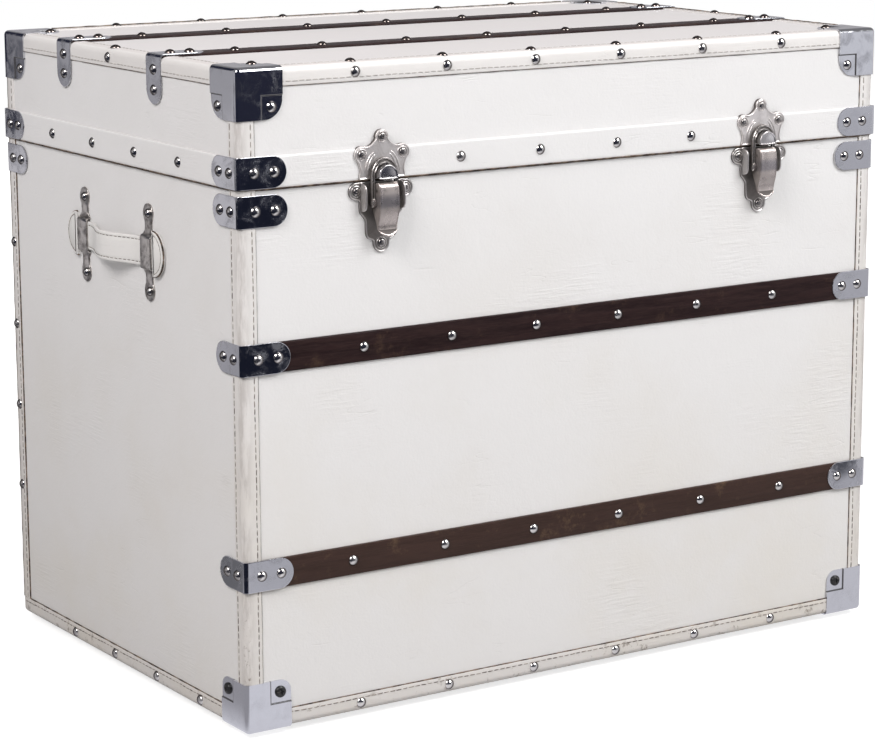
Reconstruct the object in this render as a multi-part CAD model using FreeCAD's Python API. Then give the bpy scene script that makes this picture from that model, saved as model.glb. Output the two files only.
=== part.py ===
import FreeCAD, Part
import math
import os

# A travelling trunk: a plywood box and lid covered with leather, edged with stitched leather
# bindings, crossed by thin wood slats, and fitted with sheet metal caps, clamps, drawbolt
# latches, strap handles and stop hinges. Millimetres. The front faces -Y, the ends face -X
# and +X, and Z is zero on the floor, under the middle of the trunk.

Vector = FreeCAD.Vector

# Carcass: outside size of the plywood box, and how it is split into base and lid
carcass_width = 720.0
carcass_depth = 468.0
base_height = 489.6
lid_height = 103.6
panel_thickness = 10.0
carcass_bevel = 1.0
seam_gap = 0.6
cap_ground_clearance = 5.0

# Layers laid over the carcass, one on another
leather_thickness = 1.2
binding_thickness = 1.2
binding_width = 17.0
band_thickness = 2.5
band_height = 28.5
band_edge_bevel = 1.2
lining_thickness = 1.0

# Wood slats
slat_width = 27.5
slat_thickness = 2.4
slat_edge_bevel = 0.8
front_slat_upper_drop = 150.0
front_slat_lower_height = 151.5
top_slat_front_setback = 153.0
top_slat_rear_setback = 136.8

# Sheet metal clamps bent round the corners, and the domed rivets that hold them
plate_thickness = 1.0
plate_edge_radius = 4.4
clamp_width = 28.5
clamp_front_reach = 50.0
clamp_end_reach = 46.0
clamp_front_rivets = (17.5, 37.5)
clamp_end_rivets = (14.5, 33.0)
lid_clamp_rise = 0.5
base_clamp_drop = 4.5

# Sheet metal corner caps
cap_reach = 46.5
cap_recess_start = 25.0
cap_rivet_inset = 35.5
lid_cap_corner_radius = 18.0
foot_cap_corner_radius = 11.0

# Domed heads of nails and rivets, and the number of sides that stands for a circle on them
# and on other stamped outlines, so that the many small pieces stay light
head_diameter = 10.0
head_height = 3.0
head_crown = 0.6
head_sides = 6
stamping_sides = 16

# Nail rows
binding_nail_count = 6
binding_nail_past_cap = 74.4
band_front_nail_pitch = 88.0
band_end_nail_pitch = 86.0
band_back_nail_pitch = 94.0
band_nail_count = 4
front_slat_nail_count = 6
front_slat_upper_nail_past_clamp = 77.1
front_slat_lower_nail_past_clamp = 63.4
top_slat_nail_count = 7
top_slat_nail_past_clamp = 34.4
end_bottom_first_nail = 89.0
end_bottom_nail_pitch = 86.7
end_bottom_nail_count = 4
upright_nail_drop = 104.5
upright_nail_pitch = 83.5
upright_nail_count = 4

# Glides under the base
glide_inset = 62.0
glide_top_radius = 11.0
glide_foot_radius = 8.0
glide_sides = 8

# Drawbolt latches, measured outward from the leather of the base and upward from the seam
latch_spacing = 434.0
latch_sheet = 2.0
keeper_top_screw = 38.5
keeper_ear_across = 21.4
keeper_ear_up = 23.5
keeper_top_lobe_radius = 6.5
keeper_ear_radius = 7.5
keeper_half_width = 24.5
keeper_step_clearance = 0.6
nose_centre_up = 4.4
nose_floor_up = 1.5
nose_flange_inner = 13.3
nose_flange_outer = 15.0
nose_flange_clearance = 0.5
nose_lip = 0.6
latch_base_ear_across = 25.8
latch_base_ear_up = -9.3
latch_base_foot_up = -57.3
latch_base_ear_radius = 8.0
latch_base_foot_radius = 8.5
latch_base_half_width = 23.5
latch_base_waist = 16.5
guard_inner = 19.5
guard_thickness = 1.6
guard_height = 8.0
latch_screw_diameter = 8.0
latch_screw_height = 1.4
pivot_out = 10.5
pivot_up = -9.0
pivot_pin_radius = 1.5
pin_running_clearance = 0.05
lug_half_width = 4.5
lug_barrel_radius = 3.6
lug_web_low = 235.0
lug_web_high = 300.0
lever_half_width = 10.0
lever_sheet = 1.8
lever_lip_up = -5.0
lever_arc_steps = 4
lever_tip_radius = 13.0
lever_tip_half_angle = 40.0
link_side_clearance = 0.5
link_wire = 3.5
link_crown = 5.5
link_inner_out = 5.6
link_eye_out = 7.0
link_eye_up = -20.0
link_eye_radius = 4.2
link_pin_radius = 1.45
link_pin_past_wall = 0.1

# Strap handles on the ends
handle_drop = 76.0
loop_spacing = 131.0
loop_sheet = 1.5
loop_screw_spacing = 73.0
loop_lobe_radius = 9.3
loop_half_width = 10.0
loop_neck_half_width = 8.0
loop_body_half_length = 20.0
loop_screw_diameter = 8.5
strap_width = 27.0
strap_thickness = 3.0
strap_clearance = 0.4
strap_seat_clearance = 0.3
strap_side_clearance = 0.8
strap_bow = 14.0
strap_bow_steps = 12
strap_flat_past_loop = 1.0
stop_height = 42.0
stop_length = 20.0
stop_extra_thickness = 1.2
handle_end_play = 2.0
handle_rest_clearance = 0.3

# Stop hinges on the back
hinge_spacing = 400.0
hinge_count = 2
hinge_width = 60.0
hinge_leaf = 1.6
hinge_axis_out = 6.3
hinge_knuckle_radius = 3.3
hinge_pin_radius = 1.5
hinge_knuckle_length = 24.0
hinge_gap = 0.3
base_leaf_drop = 46.0
lid_leaf_rise = 24.0
leaf_knuckle_clearance = 4.2
hinge_rivet_spacing = 36.0
lid_open_angle = 100.0
stop_lug_thickness = 1.9
stop_lug_length = 6.0

# Levels and offsets that follow from the sizes above
leather_offset = leather_thickness
binding_offset = leather_offset + binding_thickness
plate_offset = binding_offset + plate_thickness
band_offset = leather_offset + band_thickness
slat_offset = leather_offset + slat_thickness
carcass_low = cap_ground_clearance + plate_offset
seam_height = carcass_low + base_height
lid_top = seam_height + lid_height
base_rim = seam_height - seam_gap / 2
lid_rim = seam_height + seam_gap / 2
half_width = carcass_width / 2
half_depth = carcass_depth / 2
front_slat_upper_height = seam_height - front_slat_upper_drop
handle_height = seam_height - handle_drop
top_slat_middles = (-half_depth - plate_offset + top_slat_front_setback,
                    half_depth + plate_offset - top_slat_rear_setback)
parts = {}


def add(name, *shapes):
    """File solids under a node's name."""
    parts.setdefault(name, []).extend(shapes)


def box(x0, x1, y0, y1, z0, z1):
    """Box between two values on each axis."""
    return Part.makeBox(x1 - x0, y1 - y0, z1 - z0, Vector(x0, y0, z0))


def prism(points, direction):
    """Outline of straight edges in one plane, pushed along a direction."""
    corners = [Vector(*p) for p in points]
    return Part.Face(Part.makePolygon(corners + corners[:1])).extrude(Vector(*direction))


def arc_points(centre, radius, start, end, steps):
    """Evenly spaced points on an arc, with its angles in degrees."""
    turns = [math.radians(start + (end - start) * i / steps) for i in range(steps + 1)]
    return [(centre[0] + radius * math.cos(t), centre[1] + radius * math.sin(t)) for t in turns]


def pin(centre, radius, direction):
    """Truly round bar, for pins and the holes that they turn in."""
    axis = Vector(*direction)
    return Part.makeCylinder(radius, axis.Length, Vector(*centre), axis)


def stud(centre, radius, direction):
    """Many-sided bar, for lobes, eyes and barrels."""
    axis = Vector(*direction)
    turn = FreeCAD.Rotation(Vector(0, 0, 1), axis)
    ring = arc_points((0, 0), radius, 0, 360, stamping_sides)[:-1]
    return prism([Vector(*centre) + turn.multVec(Vector(x, y, 0)) for x, y in ring], axis)


def tapered_stud(sides, low_radius, high_radius, height):
    """Many-sided stud on the XY plane that narrows or widens as it rises."""
    rings = []
    for radius, level in ((low_radius, 0), (high_radius, height)):
        rings.append([Vector(x, y, level) for x, y in arc_points((0, 0), radius, 0, 360, sides)[:-1]])
    low, high = rings
    faces = [Part.Face(Part.makePolygon(ring + ring[:1])) for ring in rings]
    for i in range(sides):
        j = (i + 1) % sides
        faces.append(Part.Face(Part.makePolygon([low[i], low[j], high[j], high[i], low[i]])))
    return Part.Solid(Part.Shell(faces))


def fused(first, *others):
    """One solid made of touching or crossing solids."""
    return first.fuse(list(others)).removeSplitter()


def mirrored(shape, x=False, y=False, z=False):
    """Copy of a shape, mirrored through the planes at zero that are asked for."""
    for flip, normal in ((x, Vector(1, 0, 0)), (y, Vector(0, 1, 0)), (z, Vector(0, 0, 1))):
        if flip:
            shape = shape.mirror(Vector(0, 0, 0), normal)
    return shape


def moved(shape, x, y, z):
    """Copy of a shape, moved."""
    copy = shape.copy()
    copy.translate(Vector(x, y, z))
    return copy


def three_ways(shape):
    """The shape and its copies turned about the diagonal, so that each faces another axis."""
    copies = []
    for angle in (0, 120, 240):
        copy = shape.copy()
        copy.rotate(Vector(0, 0, 0), Vector(1, 1, 1), angle)
        copies.append(copy)
    return copies


def bevel_at(offset):
    """Bevel that keeps a wrapped layer equally thick round the carcass's bevelled edge."""
    return carcass_bevel + (2 - math.sqrt(2)) * offset


def is_upright(edge):
    """True for an edge that runs straight up."""
    return abs(edge.BoundBox.XLength) < 1e-6 and abs(edge.BoundBox.YLength) < 1e-6


def is_level_at(edge, height):
    """True for an edge that lies at a height."""
    return all(abs(v.Point.z - height) < 1e-6 for v in edge.Vertexes)


def wrapped_block(offset, low, high, bevelled_height=None):
    """Block that stands an offset outside the carcass, bevelled up its corners and, where a
    height is given, round its edges there."""
    x, y = half_width + offset, half_depth + offset
    block = box(-x, x, -y, y, low, high)
    edges = [e for e in block.Edges if is_upright(e)]
    if bevelled_height is not None:
        edges += [e for e in block.Edges if is_level_at(e, bevelled_height)]
    return block.makeChamfer(bevel_at(offset), edges)


def base_block(offset):
    """The base with everything out to an offset from the carcass."""
    low = carcass_low - offset
    return wrapped_block(offset, low, base_rim, low)


def lid_block(offset):
    """The lid with everything out to an offset from the carcass."""
    high = lid_top + offset
    return wrapped_block(offset, lid_rim, high, high)


def corner_posts(low, high):
    """Four boxes that take in the binding's width at each upright edge."""
    x, y = half_width + binding_offset, half_depth + binding_offset
    post = box(-x, -x + binding_width, -y, -y + binding_width, low, high)
    return [mirrored(post, x=right, y=back) for back in (False, True) for right in (False, True)]


def spread(count, pitch):
    """Evenly pitched places about zero."""
    return [(i - (count - 1) / 2) * pitch for i in range(count)]


def spread_between(count, end, gap):
    """Even places about zero, the outer ones a gap short of the metalwork at each end."""
    return spread(count, 2 * (end - gap) / (count - 1))


def seated(head, point, direction):
    """Copy of a head, seated at a point and facing along a direction."""
    copy = head.copy()
    copy.Placement = FreeCAD.Placement(Vector(*point), FreeCAD.Rotation(Vector(0, 0, 1), Vector(*direction)))
    return copy


def head(diameter, height):
    """Low domed head."""
    return tapered_stud(head_sides, diameter / 2, diameter / 2 * head_crown, height)


nail = head(head_diameter, head_height)
latch_screw = head(latch_screw_diameter, latch_screw_height)
loop_screw = head(loop_screw_diameter, head_height)


def build_base_carcass():
    """Front and back run the full width, the ends fit between them and the bottom inside all four."""
    block = base_block(0)
    t, low = panel_thickness, carcass_low
    inner_x, inner_y = half_width - t, half_depth - t
    front = box(-half_width, half_width, -half_depth, -inner_y, low, base_rim).common(block)
    end = box(-half_width, -inner_x, -inner_y, inner_y, low, base_rim).common(block)
    add("base_front_panel", front)
    add("base_back_panel", mirrored(front, y=True))
    add("base_left_panel", end)
    add("base_right_panel", mirrored(end, x=True))
    add("base_bottom_panel", box(-inner_x, inner_x, -inner_y, inner_y, low, low + t))


def build_lid_carcass():
    """The rails meet as the base's panels do, and the top is laid on them."""
    block = lid_block(0)
    rail_high = lid_top - panel_thickness
    inner_x, inner_y = half_width - panel_thickness, half_depth - panel_thickness
    front = box(-half_width, half_width, -half_depth, -inner_y, lid_rim, rail_high).common(block)
    end = box(-half_width, -inner_x, -inner_y, inner_y, lid_rim, rail_high)
    add("lid_front_rail", front)
    add("lid_back_rail", mirrored(front, y=True))
    add("lid_left_rail", end)
    add("lid_right_rail", mirrored(end, x=True))
    add("lid_top_panel", box(-half_width, half_width, -half_depth, half_depth, rail_high, lid_top).common(block))


def build_linings():
    """Cloth glued to the inside faces, open towards the seam."""
    t, c = panel_thickness, lining_thickness
    x, y = half_width - t, half_depth - t
    low, high = carcass_low + t, lid_top - t
    base = box(-x, x, -y, y, low, base_rim)
    add("base_lining", base.cut(box(-x + c, x - c, -y + c, y - c, low + c, base_rim)))
    lid = box(-x, x, -y, y, lid_rim, high)
    add("lid_lining", lid.cut(box(-x + c, x - c, -y + c, y - c, lid_rim, high - c)))


def build_leather():
    """Base and lid are each covered by one skin of leather, glued over the wood."""
    add("base_leather", base_block(leather_offset).cut(base_block(0)))
    add("lid_leather", lid_block(leather_offset).cut(lid_block(0)))


def build_bindings():
    """Stitched strips over the leather: round the bottom and top edges and up each corner."""
    x, y, w = half_width + binding_offset, half_depth + binding_offset, binding_width
    base_skin = base_block(binding_offset).cut(base_block(leather_offset))
    lid_skin = lid_block(binding_offset).cut(lid_block(leather_offset))
    low, high = carcass_low - binding_offset, lid_top + binding_offset
    window = (-x + w, x - w, -y + w, y - w)
    foot = base_skin.common(box(-x, x, -y, y, low, low + w))
    add("base_bottom_binding", foot.cut(box(*window, low, low + w)))
    top = lid_skin.common(box(-x, x, -y, y, high - w, high))
    add("lid_top_binding", top.cut(box(*window, high - w, high)))
    for post in corner_posts(low + w, base_rim):
        add("base_corner_bindings", base_skin.common(post))
    for post in corner_posts(lid_rim + band_height, high - w):
        add("lid_corner_bindings", lid_skin.common(post))


def build_band():
    """Padded strip round the lid above the seam, with a soft upper edge."""
    high = lid_rim + band_height
    outer = wrapped_block(band_offset, lid_rim, high)
    outer = outer.makeChamfer(band_edge_bevel, [e for e in outer.Edges if is_level_at(e, high)])
    add("lid_seam_band", outer.cut(wrapped_block(leather_offset, lid_rim, high)))


def bevelled_slat(x0, x1, y0, y1, z0, z1, shown):
    """Slat whose two long edges on its shown face are bevelled."""
    slat = box(x0, x1, y0, y1, z0, z1)
    long_edges = [e for e in slat.Edges if abs(e.BoundBox.XLength - (x1 - x0)) < 1e-6 and shown(e.CenterOfMass)]
    return slat.makeChamfer(slat_edge_bevel, long_edges)


slat_end = half_width + binding_offset - bevel_at(binding_offset)


def build_front_slats():
    """Two slats across the front, thinned where they cross the corner bindings."""
    face, seat = -half_depth - slat_offset, -half_depth - leather_offset
    for name, middle in (("front_slat_upper", front_slat_upper_height), ("front_slat_lower", front_slat_lower_height)):
        low, high = middle - slat_width / 2, middle + slat_width / 2
        slat = bevelled_slat(-slat_end, slat_end, face, seat, low, high, lambda p: p.y < face + 1e-6)
        for post in corner_posts(low, high)[:2]:
            slat = slat.cut(post)
        add(name, slat)


def build_top_slats():
    """Two slats along the lid, thinned where they cross the top binding at the ends."""
    face, seat = lid_top + slat_offset, lid_top + leather_offset
    inner_end = half_width + binding_offset - binding_width
    for name, middle in zip(("top_slat_front", "top_slat_rear"), top_slat_middles):
        low, high = middle - slat_width / 2, middle + slat_width / 2
        slat = bevelled_slat(-slat_end, slat_end, low, high, seat, face, lambda p: p.z > face - 1e-6)
        notch = box(inner_end, slat_end, low, high, seat, lid_top + binding_offset)
        add(name, slat.cut(notch).cut(mirrored(notch, x=True)))


def tongue_outline(reach):
    """Flat strip from zero to a reach with a round end, as (along, across) pairs."""
    r = clamp_width / 2
    return [(0, -r)] + arc_points((reach - r, 0), r, -90, 90, stamping_sides // 2) + [(0, r)]


def clamp():
    """Clamp with its outer corner at the origin, its front tongue along +X and the other along +Y."""
    r, t, lean = plate_edge_radius, plate_thickness, bevel_at(binding_offset)
    front, end = clamp_front_reach, clamp_end_reach
    bend = arc_points((r, r), r, 270, 180, stamping_sides // 4)
    strip = [(front, 0)] + bend + [(0, end), (t, end), (t, t + lean), (t + lean, t), (front, t)]
    strip = prism([(x, y, -clamp_width / 2) for x, y in strip], (0, 0, clamp_width))
    over_front = prism([(x, 0, z) for x, z in tongue_outline(front)], (0, end, 0))
    over_end = prism([(0, y, z) for y, z in tongue_outline(end)], (front, 0, 0))
    return strip.common(over_front).common(over_end)


def clamp_with_rivets():
    """A clamp and the list of its rivet heads, in the clamp's own frame."""
    heads = [seated(nail, (x, 0, 0), (0, -1, 0)) for x in clamp_front_rivets]
    heads += [seated(nail, (0, y, 0), (-1, 0, 0)) for y in clamp_end_rivets]
    return clamp(), heads


def build_clamps():
    """Clamps on the front slats' ends, above and below the seam, and on the top slats' ends."""
    shape, heads = clamp_with_rivets()
    t = plate_thickness
    lid_height_up = lid_rim + lid_clamp_rise + clamp_width / 2
    base_height_up = base_rim - base_clamp_drop - clamp_width / 2
    upright = [("front_slat_clamps", "base_rivets", slat_offset, binding_offset, front_slat_upper_height, (False,)),
               ("front_slat_clamps", "base_rivets", slat_offset, binding_offset, front_slat_lower_height, (False,)),
               ("base_seam_clamps", "base_rivets", binding_offset, binding_offset, base_height_up, (False, True)),
               ("lid_seam_clamps", "lid_rivets", band_offset, band_offset, lid_height_up, (False, True))]
    for right in (False, True):
        for node, rivet_node, front_offset, end_offset, height, ends in upright:
            place = (-half_width - end_offset - t, -half_depth - front_offset - t, height)
            for back in ends:
                add(node, mirrored(moved(shape, *place), x=right, y=back))
                add(rivet_node, *[mirrored(moved(h, *place), x=right, y=back) for h in heads])
        for middle in top_slat_middles:
            place = (-half_width - binding_offset - t, middle, lid_top + slat_offset + t)
            for node, shapes in (("top_slat_clamps", [shape]), ("lid_rivets", heads)):
                for piece in shapes:
                    laid = piece.copy()
                    laid.rotate(Vector(0, 0, 0), Vector(1, 0, 0), -90)
                    add(node, mirrored(moved(laid, *place), x=right))


def corner_edges(cube, level):
    """The three edges of a cube that meet at its lowest corner."""
    return [e for e in cube.Edges if sum(abs(c - level) < 1e-6 for c in e.CenterOfMass) == 2]


def corner_cap(corner_radius):
    """Cap in the positive octant with its outer corner at the origin. Three outlines, each with
    one bend and one round corner, cross to make its rounded block. Each wing is raised over
    the bindings and steps down to the leather at its outer square, where its fastener sits."""
    t, s, reach, r, c = plate_thickness, cap_recess_start, cap_reach, plate_edge_radius, corner_radius
    steps = stamping_sides // 4
    outline = arc_points((r, r), r, 180, 270, steps) + [(reach, 0)]
    outline += arc_points((reach - c, reach - c), c, 0, 90, steps) + [(0, reach)]
    wings = three_ways(prism([(x, y, 0) for x, y in outline], (0, 0, reach)))
    block = wings[0].common(wings[1]).common(wings[2])
    inner = box(t, reach, t, reach, t, reach)
    inner = inner.makeChamfer(bevel_at(binding_offset), corner_edges(inner, t))
    raised = block.cut(inner).cut(three_ways(box(s, reach, s, reach, 0, t)))
    seats = three_ways(box(s - t, reach, s - t, reach, t, t + binding_thickness))
    return fused(raised, *seats).common(block)


def build_caps():
    """Four caps on the lid and two on the front feet of the base."""
    i, t = cap_rivet_inset, plate_thickness
    x, y = half_width + plate_offset, half_depth + plate_offset
    heads = [seated(nail, point, direction) for point, direction in
             (((i, i, t), (0, 0, -1)), ((i, t, i), (0, -1, 0)), ((t, i, i), (-1, 0, 0)))]
    lid_cap, foot_cap = corner_cap(lid_cap_corner_radius), corner_cap(foot_cap_corner_radius)
    for right in (False, True):
        for node, shapes in (("lid_corner_caps", [lid_cap]), ("lid_rivets", heads)):
            for shape in shapes:
                hung = moved(mirrored(shape, z=True), -x, -y, lid_top + plate_offset)
                add(node, mirrored(hung, x=right), mirrored(hung, x=right, y=True))
        for node, shapes in (("foot_corner_caps", [foot_cap]), ("foot_cap_screws", heads)):
            for shape in shapes:
                add(node, mirrored(moved(shape, -x, -y, carcass_low - plate_offset), x=right))


def build_base_nails():
    """Nails along the bottom binding, the front slats and the rear corner bindings."""
    face_y, face_x, middle = half_depth + binding_offset, half_width + binding_offset, binding_width / 2
    row = carcass_low - binding_offset + middle
    cap_end, clamp_end = half_width + plate_offset - cap_reach, half_width + plate_offset - clamp_front_reach
    spots = []
    for x in spread_between(binding_nail_count, cap_end, binding_nail_past_cap):
        spots += [((x, -face_y, row), (0, -1, 0)), ((x, face_y, row), (0, 1, 0))]
    for height, gap in ((front_slat_upper_height, front_slat_upper_nail_past_clamp),
                        (front_slat_lower_height, front_slat_lower_nail_past_clamp)):
        for x in spread_between(front_slat_nail_count, clamp_end, gap):
            spots.append(((x, -half_depth - slat_offset, height), (0, -1, 0)))
    for sign in (-1, 1):
        for i in range(end_bottom_nail_count):
            y = -face_y + end_bottom_first_nail + i * end_bottom_nail_pitch
            spots.append(((sign * face_x, y, row), (sign, 0, 0)))
        for i in range(upright_nail_count):
            z = seam_height - upright_nail_drop - i * upright_nail_pitch
            spots.append(((sign * face_x, face_y - middle, z), (sign, 0, 0)))
            spots.append(((sign * (face_x - middle), face_y, z), (0, 1, 0)))
    add("base_nails", *[seated(nail, point, direction) for point, direction in spots])


def build_lid_nails():
    """Nails along the top binding, the band and the top slats."""
    face_y, face_x, middle = half_depth + binding_offset, half_width + binding_offset, binding_width / 2
    top = lid_top + binding_offset
    band_row = lid_rim + band_height / 2
    band_y, band_x = half_depth + band_offset, half_width + band_offset
    cap_end, clamp_end = half_width + plate_offset - cap_reach, half_width + plate_offset - clamp_front_reach
    end_middle = sum(top_slat_middles) / 2
    spots = []
    for x in spread_between(binding_nail_count, cap_end, binding_nail_past_cap):
        for sign in (-1, 1):
            spots.append(((x, sign * face_y, top - middle), (0, sign, 0)))
            spots.append(((x, sign * (face_y - middle), top), (0, 0, 1)))
    for x in spread(band_nail_count, band_front_nail_pitch):
        spots.append(((x, -band_y, band_row), (0, -1, 0)))
    for x in spread(band_nail_count, band_back_nail_pitch):
        spots.append(((x, band_y, band_row), (0, 1, 0)))
    for sign in (-1, 1):
        spots.append(((sign * face_x, end_middle, top - middle), (sign, 0, 0)))
        spots.append(((sign * (face_x - middle), end_middle, top), (0, 0, 1)))
        for y in spread(band_nail_count, band_end_nail_pitch):
            spots.append(((sign * band_x, y, band_row), (sign, 0, 0)))
    for y in top_slat_middles:
        for x in spread_between(top_slat_nail_count, clamp_end, top_slat_nail_past_clamp):
            spots.append(((x, y, lid_top + slat_offset), (0, 0, 1)))
    add("lid_nails", *[seated(nail, point, direction) for point, direction in spots])


def build_glides():
    """Nail-on glides under the base, flat on the floor."""
    glide = tapered_stud(glide_sides, glide_foot_radius, glide_top_radius, carcass_low - leather_offset)
    for x in (-half_width + glide_inset, half_width - glide_inset):
        for y in (-half_depth + glide_inset, half_depth - glide_inset):
            add("glides", moved(glide, x, y, 0))


# The latches are drawn about the middle of the seam on the leather: x across, -Y outward, z up

def stamped(half_outline, lobes, out_low, out_high):
    """Symmetric plate from the right half of its outline, bottom to top, and its round lobes."""
    points = half_outline + [(-x, z) for x, z in reversed(half_outline)]
    plate = prism([(x, -out_low, z) for x, z in points], (0, out_low - out_high, 0))
    return fused(plate, *[stud((x, -out_low, z), radius, (0, out_low - out_high, 0)) for x, z, radius in lobes])


def across(outline, x_low, x_high):
    """Outline of (out, up) pairs, pushed across the latch."""
    return prism([(x_low, -n, z) for n, z in outline], (x_high - x_low, 0, 0))


def build_keeper():
    """Lid plate with three lobes, stepped over the band, and the half-moon nose for the link."""
    w, ear_x, ear_z = keeper_half_width, keeper_ear_across, keeper_ear_up
    seat, face = band_thickness, band_thickness + latch_sheet
    half = [(w, 1.0), (w - 0.5, 9.0), (ear_x + 5.5, ear_z - 5.2), (ear_x - 2.0, ear_z + keeper_ear_radius),
            (keeper_top_lobe_radius, keeper_top_screw - 2.5)]
    lobes = [(ear_x, ear_z, keeper_ear_radius), (-ear_x, ear_z, keeper_ear_radius),
             (0, keeper_top_screw, keeper_top_lobe_radius)]
    step = band_height + seam_gap / 2 + keeper_step_clearance
    plate = stamped(half, lobes, 0, face).cut(box(-2 * w, 2 * w, -seat, 0, 0, step))
    slab = box(-w, w, -nose_flange_outer, -seat, nose_floor_up, 2 * w)
    radius = lever_half_width + link_side_clearance - nose_flange_clearance
    neck = stud((0, -seat, nose_centre_up), radius - nose_lip, (0, seat - nose_flange_outer, 0))
    flange = stud((0, -nose_flange_inner, nose_centre_up), radius, (0, nose_flange_inner - nose_flange_outer, 0))
    return fused(plate, neck.common(slab), flange.common(slab))


def build_latch_base():
    """Base plate with two ears and a foot lobe, low guards at its sides and a lug for the lever."""
    t, w, waist = latch_sheet, latch_base_half_width, latch_base_waist
    foot_z, ear_x, ear_z = latch_base_foot_up, latch_base_ear_across, latch_base_ear_up
    half = [(latch_base_foot_radius - 1.0, foot_z), (waist - 3.0, foot_z + 2.8), (waist, -50.0),
            (waist + 0.5, -34.5), (w - 0.5, -27.5), (w, -1.0)]
    lobes = [(ear_x, ear_z, latch_base_ear_radius), (-ear_x, ear_z, latch_base_ear_radius),
             (0, foot_z, latch_base_foot_radius)]
    high = t + guard_height
    guard = [(t, -27.0), (high - 2.5, -26.0), (high, -22.0), (high, -8.0), (high - 2.5, -4.0), (t, -3.0)]
    guards = [across(guard, side * guard_inner, side * (guard_inner + guard_thickness)) for side in (-1, 1)]
    boss = arc_points((pivot_out, pivot_up), lug_barrel_radius, lug_web_low, lug_web_high, 1)
    web = across([(t, -30.0), (t, -21.0)] + boss, -lug_half_width, lug_half_width)
    barrel = stud((-lug_half_width, -pivot_out, pivot_up), lug_barrel_radius, (2 * lug_half_width, 0, 0))
    hole = pin((-w, -pivot_out, pivot_up), pivot_pin_radius + pin_running_clearance, (2 * w, 0, 0))
    return fused(stamped(half, lobes, 0, t), web, barrel, *guards).cut(hole)


def lever_face(inset):
    """Shown face of the lever as (out, up) pairs on three arcs, from its top lip over its belly
    to its flared tip, set in by a sheet's thickness for the hollow side."""
    chain = [((11.0, -1.6), (15.0, -3.2), (16.3, -7.5)), ((16.3, -7.5), (17.0, -21.0), (13.2, -38.0)),
             ((13.2, -38.0), (12.8, -43.5), (15.2, -49.0))]
    points = []
    for arc in chain:
        ends = [Vector(n - inset, z - (inset if z > lever_lip_up else 0), 0) for n, z in arc]
        points += Part.Arc(*ends).toShape().discretize(Number=lever_arc_steps + 1)[:-1]
    return [(p.x, p.y) for p in points + ends[-1:]]


def build_lever():
    """Lever of channel section with a bellied face, a flared round tip and cross holes."""
    w, inner = lever_half_width, lever_half_width - lever_sheet
    back = [(13.6, -49.2), (10.8, -43.0), (9.4, -38.0), (2.9, -26.0), (2.9, -14.0), (3.6, -8.5), (6.0, -3.6)]
    open_back = [(13.4, -60.0), (-5.0, -60.0), (-5.0, 5.0), (11.0 - lever_sheet, 5.0)]
    hollow = across(lever_face(lever_sheet) + open_back, -inner, inner)
    lever = across(lever_face(0) + back, -w, w).cut(hollow)
    ring = arc_points((0, -49.0 + lever_tip_radius), lever_tip_radius, 270 + lever_tip_half_angle,
                      270 - lever_tip_half_angle, stamping_sides // 2)
    tip = [(x, 5.0, z) for x, z in ring]
    lever = lever.common(prism(tip + [(-w, 5.0, 0), (w, 5.0, 0)], (0, -40.0, 0)))
    for out, up, radius in ((pivot_out, pivot_up, pivot_pin_radius), (link_eye_out, link_eye_up, link_pin_radius)):
        lever = lever.cut(pin((-w, -out, up), radius + pin_running_clearance, (2 * w, 0, 0)))
    return lever


def build_link():
    """Hoop link: two arms with eyes on the lever and a bow over the nose, broadest at its crown."""
    inner = lever_half_width + link_side_clearance
    outer = inner + link_wire
    n0, n1 = link_inner_out, link_inner_out + link_wire
    centre = (0, nose_centre_up)
    steps = stamping_sides // 2
    swell = (inner + link_crown) / outer
    bow = [(x, nose_centre_up + swell * (z - nose_centre_up)) for x, z in arc_points(centre, outer, 0, 180, steps)]
    bow += arc_points(centre, inner, 180, 0, steps)
    bow = prism([(x, -n0, z) for x, z in bow], (0, n0 - n1, 0))
    eye = (link_eye_out, link_eye_up)
    low, high = arc_points(eye, link_eye_radius, 160, 20, 1)
    arm = [low, (n0, -6.0), (n0, nose_centre_up), (n1, nose_centre_up), (n1, -6.0), high]
    pieces = []
    for side in (-1, 1):
        reach = side * (inner - link_side_clearance - lever_sheet - link_pin_past_wall)
        place = (side * inner, -link_eye_out, link_eye_up)
        pieces.append(across(arm, side * inner, side * outer))
        pieces.append(stud(place, link_eye_radius, (side * link_wire, 0, 0)))
        pieces.append(pin(place, link_pin_radius, (reach - side * inner, 0, 0)))
    return fused(bow, *pieces)


def build_latches():
    """Left and right latches, their pivot pins and their screws."""
    keeper, plate, lever, link = build_keeper(), build_latch_base(), build_lever(), build_link()
    pivot = pin((-lever_half_width, -pivot_out, pivot_up), pivot_pin_radius, (2 * lever_half_width, 0, 0))
    face = band_thickness + latch_sheet
    keeper_spots = [(0, keeper_top_screw), (keeper_ear_across, keeper_ear_up), (-keeper_ear_across, keeper_ear_up)]
    base_spots = [(0, latch_base_foot_up), (latch_base_ear_across, latch_base_ear_up),
                  (-latch_base_ear_across, latch_base_ear_up)]
    screws = {"latch_keeper_screws": (keeper_spots, face), "latch_base_screws": (base_spots, latch_sheet)}
    for side, sign in (("left", -1), ("right", 1)):
        place = (sign * latch_spacing / 2, -half_depth - leather_offset, seam_height)
        add(f"{side}_latch_keeper", moved(keeper, *place))
        add(f"{side}_latch_base", moved(plate, *place))
        add(f"{side}_latch_lever", moved(lever, *place))
        add(f"{side}_latch_link", moved(link, *place))
        add("latch_pivot_pins", moved(pivot, *place))
        for node, (spots, out) in screws.items():
            add(node, *[moved(seated(latch_screw, (x, -out, z), (0, -1, 0)), *place) for x, z in spots])


# The handles are drawn about the middle of the left end's leather: -X outward, y along, z up

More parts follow.
